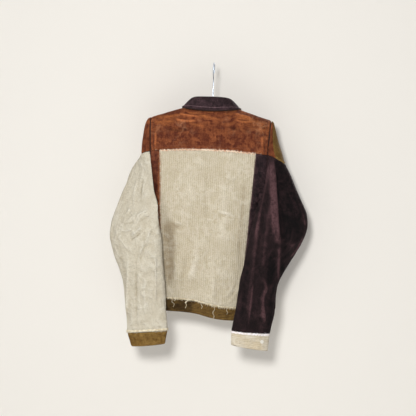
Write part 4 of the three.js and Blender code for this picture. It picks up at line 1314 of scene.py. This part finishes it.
# %% Ribbons of raw edge
def frill(name, sheet, u, v, half, wave, pitch, finish, seed, off=0.7, rough=0.5, away=(0, 0, -1)):
    """A narrow wavy ribbon along a line on a sheet: half its width, and the height and pitch of its wave."""
    dice = np.random.default_rng(seed)
    count = 420
    line = np.linspace(0, 1, len(u))
    t = np.linspace(0, 1, count)
    places, normal = on_sheet(sheet, np.interp(t, line, u), np.interp(t, line, v), off)
    step = np.linalg.norm(np.diff(places, axis=0), axis=1)
    far = np.concatenate([[0], np.cumsum(step)])
    along = np.gradient(places, axis=0)
    along = along / np.maximum(np.linalg.norm(along, axis=1, keepdims=True), 1e-9)
    down = np.cross(along, normal)
    down = down * np.sign(down @ np.asarray(away, float))[:, None]
    phase = unevenness(far, far * 0 + 3.0, pitch * 1.7, seed) * 3.0
    swell = 0.55 + 0.45 * unevenness(far, far * 0, 30, seed + 1)
    sway = wave * np.sin(2 * math.pi * far / pitch + phase) * swell
    rise = 0.5 + 0.5 * np.cos(2 * math.pi * far / pitch + phase)
    rows = []
    for k, side in enumerate((-1.0, -0.35, 0.35, 1.0)):
        ragged = rough * dice.normal(0, 1, count) if k in (0, 3) else 0
        shift = (side * half + sway + ragged)[:, None]
        height = (rise * 0.9 * (1 - side * side * 0.5))[:, None]
        rows.append(places + down * shift + normal * height)
    if (np.cross(along, down) * normal).sum() < 0:
        rows.reverse()
    return finish_trim(grid_mesh(name, np.stack(rows)[None]), finish)


ACROSS = np.linspace(0.01, 0.99, 60)
seam_frill = frill("yoke_seam_frill", "back_panel", ACROSS, np.full(60, 0.002), 1.8, 2.8, 9.0,
                   pink_fluff, 101, off=1.8)
seam_fringe = fringe("yoke_seam_fringe", "back_panel", ACROSS, np.full(60, 0.003), (0, 0, -0.6), 500,
                     (2.0, 5.0), 0.5, pink_fluff, 102)
seam_fringe_up = fringe("yoke_seam_fluff", "back_yoke", np.linspace(0.03, 0.97, 60), np.full(60, 0.992),
                        (0, 0, 0.4), 220, (1.5, 4.0), 0.5, pink_fluff, 103)

DOWN = np.linspace(0.01, 0.99, 60)
left_fluff = fringe("left_strip_fringe", "back_panel", np.full(60, 0.998), DOWN * 0.95,
                    (-0.9, -0.3, 0), 1500, (2.5, 7.5), 0.55, orange_fluff, 111,
                    spread=0.6, jitter=1.8)
left_fluff_in = fringe("left_strip_fluff", "back_panel", np.full(60, 0.992), DOWN * 0.95,
                       (0.8, -0.2, -0.2), 700, (1.5, 4.0), 0.5, orange_fluff, 112,
                       spread=0.7)
right_fluff = fringe("right_strip_fringe", "back_panel", np.full(60, 0.002), DOWN * 0.85,
                     (0.9, -0.3, 0), 1100, (2.0, 6.0), 0.5, mauve_fluff, 113,
                     spread=0.6, jitter=1.4)

# %% [markdown]
# The panel's lower edge is raw as well. A few whole threads have come out of it and hang over the waistband.
# They are curves with a round section, because they are thick enough to see as cord.

# %% Hem of the panel and its loose threads
hem_fringe = fringe("panel_hem_fringe", "back_panel", ACROSS, np.full(60, 0.998), (0, -0.1, -0.9), 1300,
                    (2.0, 8.0), 0.55, cream_fluff, 121, spread=0.5, jitter=1.2)
hem_frill = frill("panel_hem_frill", "back_panel", ACROSS, np.full(60, 0.997), 1.4, 0.9, 14.0,
                  cream_fluff, 122, off=0.8)


def loose_thread(name, places, width=0.8, knot=None):
    """One hanging thread as a round curve through (x, z) places, just off the back of the waistband."""
    line = smooth_path(places, 40)
    reach = -depth(line[:, 1], True) * rounding(line[:, 0] / half_width(line[:, 1])) - 2.2
    curve = bpy.data.curves.new(name, "CURVE")
    curve.dimensions = "3D"
    curve.bevel_depth = width / 2 * MM
    curve.bevel_resolution = 1
    spline = curve.splines.new("POLY")
    spline.points.add(len(line) - 1)
    for point, (x, z), y in zip(spline.points, line, reach):
        point.co = ((x + HUNG_ASIDE) * MM, y * MM, z * MM, 1)
        point.radius = 1.0
    if knot:
        for point, (x, z) in zip(spline.points, line):
            point.radius = 1 + 2.2 * math.exp(-((z - knot) / 2.2) ** 2)
    curve.materials.append(cream_fluff)
    piece = bpy.data.objects.new(name, curve)
    bpy.context.scene.collection.objects.link(piece)
    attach(piece, "root")
    return piece


loose_threads = [
    loose_thread("hem_thread_curl",
                 [(-78, -700), (-82, -708), (-88, -705), (-90, -712), (-83, -718), (-86, -727)], 1.3),
    loose_thread("hem_thread_knot",
                 [(-40, -698), (-43, -706), (-49, -712), (-46, -720), (-50, -728)], 1.5, knot=-711),
    loose_thread("hem_thread_short", [(0, -706), (-3, -714), (1, -721), (-2, -728)], 1.2),
    loose_thread("hem_thread_long", [(34, -716), (38, -727), (33, -738), (37, -748), (34, -758)], 1.4),
    loose_thread("hem_thread_side", [(76, -722), (73, -729), (77, -735), (74, -741)], 1.0),
]
print("loose threads:", len(loose_threads))

# %% [markdown]
# The right cuff was sewn on with its raw edge up, and the left sleeve hangs over its cuff with its raw edge
# down. Both get a wavy ribbon with a fringe on it.

# %% Raw edges of sleeve and cuff
RING = np.linspace(0, 1, 80)
cuff_frill = frill("right_cuff_raw_edge", "cuff_right", RING, np.full(80, 0.03), 3.0, 0.9, 11.0,
                   white_fluff, 131, off=1.0, rough=0.45)
cuff_fringe = fringe("right_cuff_fringe", "cuff_right", RING, np.full(80, 0.01), (0, 0, 0.8), 900,
                     (2.0, 5.5), 0.5, white_fluff, 132, spread=0.5, jitter=1.0, lift=0.5)
sleeve_frill = frill("left_sleeve_raw_edge", "sleeve_left", RING, np.full(80, 0.992), 2.4, 1.1, 16.0,
                     cream_fluff, 133, off=1.2, rough=0.5)
sleeve_fringe = fringe("left_sleeve_fringe", "sleeve_left", RING, np.full(80, 0.996), (0, 0, -0.9), 700,
                       (2.0, 7.0), 0.5, cream_fluff, 134, spread=0.5, jitter=1.2, lift=0.5)
left_seam_fringe = fringe("left_sleeve_seam_fluff", "sleeve_left", RING, np.full(80, 0.004),
                          (0, 0, 0.3), 260, (1.2, 3.0), 0.45, cream_fluff, 135, spread=0.8)
ochre_fluff = plain("ochre_fluff", srgb(170, 138, 74))
patch_edge = fringe("cap_patch_edge", "sleeve_cap_right_patch", np.linspace(0.4, 1, 40),
                    np.full(40, 0.985), (0, 0, -0.3), 260, (1.2, 3.2), 0.5, ochre_fluff, 136)

# %% [markdown]
# Topstitching runs beside the seams in matching thread. The rows are kept in a table by the piece they are
# sewn on.

# %% Rows of topstitching
def stitch_row(name, sheet, u, v, slot, finish, off=0.15, **sizes):
    count = max(len(np.atleast_1d(u)), len(np.atleast_1d(v)))
    u, v = np.broadcast_to(u, count), np.broadcast_to(v, count)
    t, line = np.linspace(0, 1, 600), np.linspace(0, 1, count)
    path, normal = on_sheet(sheet, np.interp(t, line, u), np.interp(t, line, v), off)
    return stitches(name, path, normal, slot, finish, **sizes)


ALONG = np.linspace(0.005, 0.995, 120)
topstitching = {
    "back_yoke": [
        stitch_row("yoke_stitch_low", "back_yoke", ALONG, 0.945, "rust", rust_thread),
        stitch_row("yoke_stitch_left", "back_yoke", 0.978, ALONG, "rust", dark_thread),
        stitch_row("yoke_stitch_right", "back_yoke", 0.022, ALONG, "rust", dark_thread),
    ],
    "collar_fall": [
        stitch_row("collar_stitch", "collar_fall", ALONG, 0.86, "collar_plum", plum_thread, width=0.9),
        stitch_row("collar_stitch_end_left", "collar_fall", 0.985, ALONG * 0.85, "collar_plum",
                   plum_thread),
        stitch_row("collar_stitch_end_right", "collar_fall", 0.015, ALONG * 0.85, "collar_plum",
                   plum_thread),
    ],
    "waistband": [
        stitch_row("band_stitch_top", "waistband", ALONG, 0.12, "olive", olive_thread),
        stitch_row("band_stitch_upper", "waistband", ALONG, 0.36, "olive", olive_thread),
        stitch_row("band_stitch_low", "waistband", ALONG, 0.66, "olive", olive_thread),
        stitch_row("band_stitch_hem", "waistband", ALONG, 0.90, "olive", olive_thread),
    ],
    "cuff_right": [
        stitch_row("cuff_right_stitch", "cuff_right", ALONG, 0.52, "ecru", cream_thread),
        stitch_row("cuff_right_stitch_hem", "cuff_right", ALONG, 0.90, "ecru", cream_thread),
    ],
    "cuff_left": [
        stitch_row("cuff_left_stitch", "cuff_left", ALONG, 0.30, "olive", olive_thread),
        stitch_row("cuff_left_stitch_hem", "cuff_left", ALONG, 0.88, "olive", olive_thread),
    ],
    "front_left": [
        stitch_row("placket_stitch_edge", "front_left", 0.985, ALONG, "dark_rust", rust_thread),
        stitch_row("placket_stitch_inner", "front_left", 0.80, ALONG, "dark_rust", rust_thread),
    ],
    "sleeve_left": [
        stitch_row("sleeve_left_stitch", "sleeve_left", ALONG, 0.008, "cream", cream_thread),
    ],
}

# %% [markdown]
# Under each seam the two seam allowances lie flat together. They close the small gap between two pieces,
# so no light comes through. Their near-black colour is painted shade, which makes the seam read as a dark
# groove.

# %% Seam allowances
# Painted shade: near-black, darker than any piece it lies under.
seam_gap_painted_shade = plain("seam_allowance_painted_shade", srgb(40, 19, 15), 0.95)
TAPE_INSET = 3.4


def tape(name, near, far):
    """A strip between two lines of points."""
    piece = finish_trim(grid_mesh(name, np.stack([near, far])[None]), seam_gap_painted_shade)
    thicken(piece, 0.8, 0)
    return piece


def armhole_tape(side):
    step = np.linspace(-16, 16, 129)
    loop = armhole(step)
    centre = np.array([0, 0, ARMHOLE_CENTRE])
    inwards = (loop - centre) * [0, 1, 1]
    inwards = inwards / np.maximum(np.linalg.norm(inwards, axis=1, keepdims=True), 1e-6)
    near = (loop - inwards * TAPE_INSET + [-7, 0, 0]) * [side, 1, 1]
    far = (loop - inwards * TAPE_INSET + [5.5, 0, 0]) * [side, 1, 1]
    return tape("armhole_tape_" + ("right" if side > 0 else "left"), near, far)


def cap_tape(side, shape):
    step = np.linspace(-7, 7, 61)
    seam = cap_seam(step, shape)
    inwards = (seam - [ARMHOLE_MIDDLE_X - 30, 0, 0]) * [1, 1, 0]
    inwards = inwards / np.linalg.norm(inwards, axis=1, keepdims=True)
    near = (seam - inwards * 3.2 + [ARM_OUT, 0, 6]) * [side, 1, 1]
    far = (seam - inwards * 3.2 + [ARM_OUT, 0, -9]) * [side, 1, 1]
    return tape("cap_tape_" + ("right" if side > 0 else "left"), near, far)


def side_tape(side):
    z = np.linspace(hem_back(side * HEM_HALF) + 6, armhole(16)[2] - 6, 61)
    line = np.stack([side * (half_width(z) - TAPE_INSET), np.zeros(61), z], -1)
    name = "side_tape_" + ("right" if side > 0 else "left")
    return tape(name, line + [0, -7, 0], line + [0, 7, 0])


# A painted shadow: a dark strip just under the collar fall's lower edge, where the fall stands off the yoke.
def collar_painted_shadow():
    edge, out = on_sheet("collar_fall", np.linspace(0.12, 0.88, 120), np.full(120, 1.0), -0.6)
    return tape("collar_painted_shadow", edge + [0, 0, 1.5], edge - out * 2.2 + [0, 0, -3.2])


armhole_tapes = [armhole_tape(1), armhole_tape(-1)]
side_tapes = {"right": side_tape(1), "left": side_tape(-1)}
cap_tapes = {"right": cap_tape(1, RIGHT), "left": cap_tape(-1, LEFT)}
collar_shadow_strip = collar_painted_shadow()
print("seam tapes:", len(armhole_tapes) + len(side_tapes) + len(cap_tapes) + 1)

# %% [markdown]
# ## Buttons and hanger
#
# Each button is turned: a disc with a raised rim and a dished middle, with two short bars of thread across
# its middle. The hanger's board keeps its solid with softened edges. Its hook is bent from round wire, so a
# curve with a round section redraws it.

# %% Buttons
def button(node, radius, facing, finish, thread):
    low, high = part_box(node)
    centre = (Vector(low) + Vector(high)) / 2
    turned = [(0, 0.5), (0.42, 0.55), (0.62, 1.0), (0.80, 1.5), (0.93, 1.35), (1.0, 0.6), (0.98, -0.8),
              (0.85, -1.4), (0, -1.5)]
    bm = bmesh.new()
    last = None
    for part, rise in turned:
        at = bm.verts.new((part * radius * MM, 0, rise * MM))
        if last:
            bm.edges.new((last, at))
        last = at
    bmesh.ops.spin(bm, geom=bm.verts[:] + bm.edges[:], cent=(0, 0, 0), axis=(0, 0, 1), angle=2 * math.pi,
                   steps=28, use_duplicate=False)
    bmesh.ops.remove_doubles(bm, verts=bm.verts[:], dist=0.01 * MM)
    bmesh.ops.recalc_face_normals(bm, faces=bm.faces[:])
    body_faces = len(bm.faces)
    hole = 0.24 * radius * MM
    for x in (-hole, hole):
        made = bmesh.ops.create_cube(bm, size=1)
        bmesh.ops.scale(bm, vec=(0.8 * MM, 2.6 * hole, 0.7 * MM), verts=made["verts"])
        bmesh.ops.translate(bm, vec=(x, 0, 0.75 * MM), verts=made["verts"])
    for face in list(bm.faces)[body_faces:]:
        face.material_index = 1
    turn = Vector((0, 0, 1)).rotation_difference(facing).to_matrix().to_4x4()
    bmesh.ops.transform(bm, matrix=Matrix.Translation(centre) @ turn, verts=bm.verts[:])
    mesh = bpy.data.meshes.new(node + "_turned")
    bm.to_mesh(mesh)
    bm.free()
    mesh.materials.append(finish)
    mesh.materials.append(thread)
    mesh.polygons.foreach_set("use_smooth", np.arange(len(mesh.polygons)) < body_faces)
    piece = bpy.data.objects.new(node + "_turned", mesh)
    bpy.context.scene.collection.objects.link(piece)
    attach(piece, "root")
    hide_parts(node)
    return piece


horn = plain("horn", srgb(74, 56, 40), 0.35, spot=srgb(44, 32, 24), size=90)
shell = plain("shell", srgb(238, 236, 230), 0.3, spot=srgb(222, 220, 214), size=140)
FRONT = Vector((0, 1, 0))
front_buttons = [button(f"front_button_{k + 1}", 8.5, FRONT, horn, rust_thread) for k in range(5)]
band_button = button("waistband_button", 8.5, FRONT, horn, olive_thread)
cuff = cuff_grid(1, RIGHT)
cuff_out = normals(cuff, closed=True)
low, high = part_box("cuff_button_right")
middle = np.array((Vector(low) + Vector(high)) / 2) / MM - [HUNG_ASIDE, 0, 0]
nearest = np.unravel_index(np.argmin(np.linalg.norm(cuff - middle, axis=2)), cuff.shape[:2])
cuff_button = button("cuff_button_right", 5.0, Vector(cuff_out[nearest]), shell, cream_thread)
print("buttons:", len(front_buttons) + 2)

# %% [markdown]
# The hanger's board keeps its solid, with its edges eased by a Bevel modifier and a beech finish. Its hook is
# bent from round wire, so a curve with a round section redraws it along the same bow and shank.

# %% Hanger
def beech_finish():
    f = Finish("beech")
    place = f.coordinates()
    grain = f.noise(place, 26, 4, (1, 12, 12), 0.6)
    wood = f.blend(f.steps(grain, 0.35, 0.7), srgb(196, 156, 106), srgb(158, 114, 68))
    f.put(f.shader.inputs["Base Color"], wood)
    f.put(f.shader.inputs["Roughness"], 0.45)
    f.put(f.shader.inputs["Normal"], f.bump(grain, 0.0003))
    return f.material


steel = plain("steel_wire", srgb(214, 222, 232), 0.35, 1.0, spot=srgb(190, 200, 212), size=200)
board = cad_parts["hanger_body"]
board.data.materials.clear()
board.data.materials.append(beech_finish())
edge = board.modifiers.new("soft_edges", "BEVEL")
edge.width = 2.5 * MM
edge.segments = 3
edge.limit_method = "ANGLE"

bow = [(20.7 * math.cos(a), 20.7 * math.sin(a) - 19) for a in np.radians(np.arange(-22.5, 226, 22.5))]
shank = [(0, -50.4), (0, -84.1), (0, -120.1)]
wire_line = smooth_path(bow + shank, 160)
wire = bpy.data.curves.new("hook_wire", "CURVE")
wire.dimensions = "3D"
wire.bevel_depth = 1.7 * MM
wire.bevel_resolution = 4
wire.use_fill_caps = True
spline = wire.splines.new("POLY")
spline.points.add(len(wire_line) - 1)
for point, (y, z) in zip(spline.points, wire_line):
    point.co = (0, y * MM, z * MM, 1)
wire.materials.append(steel)
hook = bpy.data.objects.new("hook_wire", wire)
bpy.context.scene.collection.objects.link(hook)
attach(hook, "root")
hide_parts("hanger_hook")
print("hook wire:", len(wire_line), "points")

# %% [markdown]

# %% [markdown]
# ## Light and camera
#
# A pale wall stands just in front of the jacket's chest, as if it hung on a studio wall with its back to
# the room. The soft light stands just left of the camera and above it, and throws the jacket's shadow a
# little down and to the right. The key light rakes over the folds from the upper left. It and the fill
# light leave the wall out, so that the wall shows one shadow, and the wall's paint glows a little to keep
# it pale. Its back is see-through, so the jacket's front can be seen from behind it.

# %% Stage
def stage_plane(name, corners, finish):
    bm = bmesh.new()
    bm.faces.new([bm.verts.new(Vector(corner)) for corner in corners])
    mesh = bpy.data.meshes.new(name)
    bm.to_mesh(mesh)
    bm.free()
    mesh.materials.append(finish)
    piece = bpy.data.objects.new(name, mesh)
    bpy.context.scene.collection.objects.link(piece)
    return piece


def wall_finish():
    f = Finish("wall_paint")
    f.put(f.shader.inputs["Base Color"], srgb(243, 240, 234))
    f.put(f.shader.inputs["Roughness"], 0.95)
    f.put(f.shader.inputs["Specular IOR Level"], 0.0)
    clear = f.node("ShaderNodeBsdfTransparent")
    glow = f.node("ShaderNodeEmission")
    glow.inputs["Color"].default_value = srgb(242, 237, 231)
    glow.inputs["Strength"].default_value = 1.12
    painted = f.node("ShaderNodeMixShader")
    painted.inputs[0].default_value = 0.12
    f.put(painted.inputs[1], f.shader.outputs[0])
    f.put(painted.inputs[2], glow.outputs[0])
    choose = f.node("ShaderNodeMixShader")
    behind = f.node("ShaderNodeNewGeometry").outputs["Backfacing"]
    f.put(choose.inputs[0], behind)
    f.put(choose.inputs[1], painted.outputs[0])
    f.put(choose.inputs[2], clear.outputs[0])
    output = f.tree.nodes["Material Output"]
    f.put(output.inputs["Surface"], choose.outputs[0])
    return f.material


WALL_Y = 0.085
FLOOR_Z = -1.6
wall_corners = [(-3, WALL_Y, FLOOR_Z), (3, WALL_Y, FLOOR_Z), (3, WALL_Y, 2), (-3, WALL_Y, 2)]
wall = stage_plane("wall", wall_corners, wall_finish())
wall.visible_diffuse = False
wall.visible_shadow = False
floor_paint = plain("floor_paint", srgb(236, 233, 228), 0.9)
floor_corners = [(-4, -4, FLOOR_Z), (4, -4, FLOOR_Z), (4, 4, FLOOR_Z), (-4, 4, FLOOR_Z)]
stage_plane("floor", floor_corners, floor_paint)


def area_light(name, place, target, size, power, colour=(1, 1, 1)):
    lamp = bpy.data.lights.new(name, "AREA")
    lamp.shape = "DISK"
    lamp.size = size
    lamp.energy = power
    lamp.color = colour
    piece = bpy.data.objects.new(name, lamp)
    piece.location = place
    piece.rotation_euler = (Vector(target) - Vector(place)).to_track_quat("-Z", "Y").to_euler()
    bpy.context.scene.collection.objects.link(piece)
    return piece


MIDDLE = (0, 0, -0.45)
key = area_light("key_light", (-2.6, -1.7, 2.1), MIDDLE, 1.1, 62, (1, 0.995, 0.985))
soft = area_light("soft_light", (-0.22, -3.2, 0.42), MIDDLE, 0.62, 71, (1, 0.995, 0.985))
not_wall = bpy.data.collections.new("not_lit_by_key")
not_wall.objects.link(wall)
key.light_linking.receiver_collection = not_wall
not_wall.collection_objects[0].light_linking.link_state = "EXCLUDE"
fill = area_light("fill_light", (2.4, -1.8, 0.2), MIDDLE, 2.0, 14, (0.95, 0.97, 1))
fill.light_linking.receiver_collection = not_wall
area_light("front_light", (1.2, 2.6, 0.9), MIDDLE, 1.6, 70)

print("lights:", len(bpy.data.lights))

world = bpy.data.worlds.new("studio")
world.use_nodes = True
nodes = world.node_tree.nodes
links = world.node_tree.links
background = nodes["Background"]
background.inputs["Color"].default_value = (1.0, 0.99, 0.97, 1)
path = nodes.new("ShaderNodeLightPath")
level = nodes.new("ShaderNodeMapRange")
links.new(path.outputs["Is Camera Ray"], level.inputs[0])
level.inputs[3].default_value = 0.2
level.inputs[4].default_value = 0.86
links.new(level.outputs[0], background.inputs["Strength"])
scene = bpy.context.scene
scene.world = world
scene.view_settings.view_transform = "Standard"

# %% [markdown]
# A long lens from a few metres keeps the jacket's sides nearly parallel. The camera stands a little to the
# right of the jacket's back and a little above its middle, and it is rolled slightly.

# %% Camera
TARGET = Vector((-0.002, 0, -0.432))
DISTANCE = 3.3
TURN, HEIGHT, ROLL = math.radians(5), math.radians(3), math.radians(2.2)
camera_data = bpy.data.cameras.new("camera")
camera_data.lens = 95
camera_data.sensor_width = 36
camera = bpy.data.objects.new("camera", camera_data)
away = Vector((math.sin(TURN) * math.cos(HEIGHT), -math.cos(TURN) * math.cos(HEIGHT), math.sin(HEIGHT)))
camera.location = TARGET + away * DISTANCE
aim = (-away).to_track_quat("-Z", "Y")
camera.rotation_euler = (aim @ Quaternion((0, 0, 1), ROLL)).to_euler()
scene.collection.objects.link(camera)
scene.camera = camera
print("camera:", [round(value, 2) for value in camera.location])
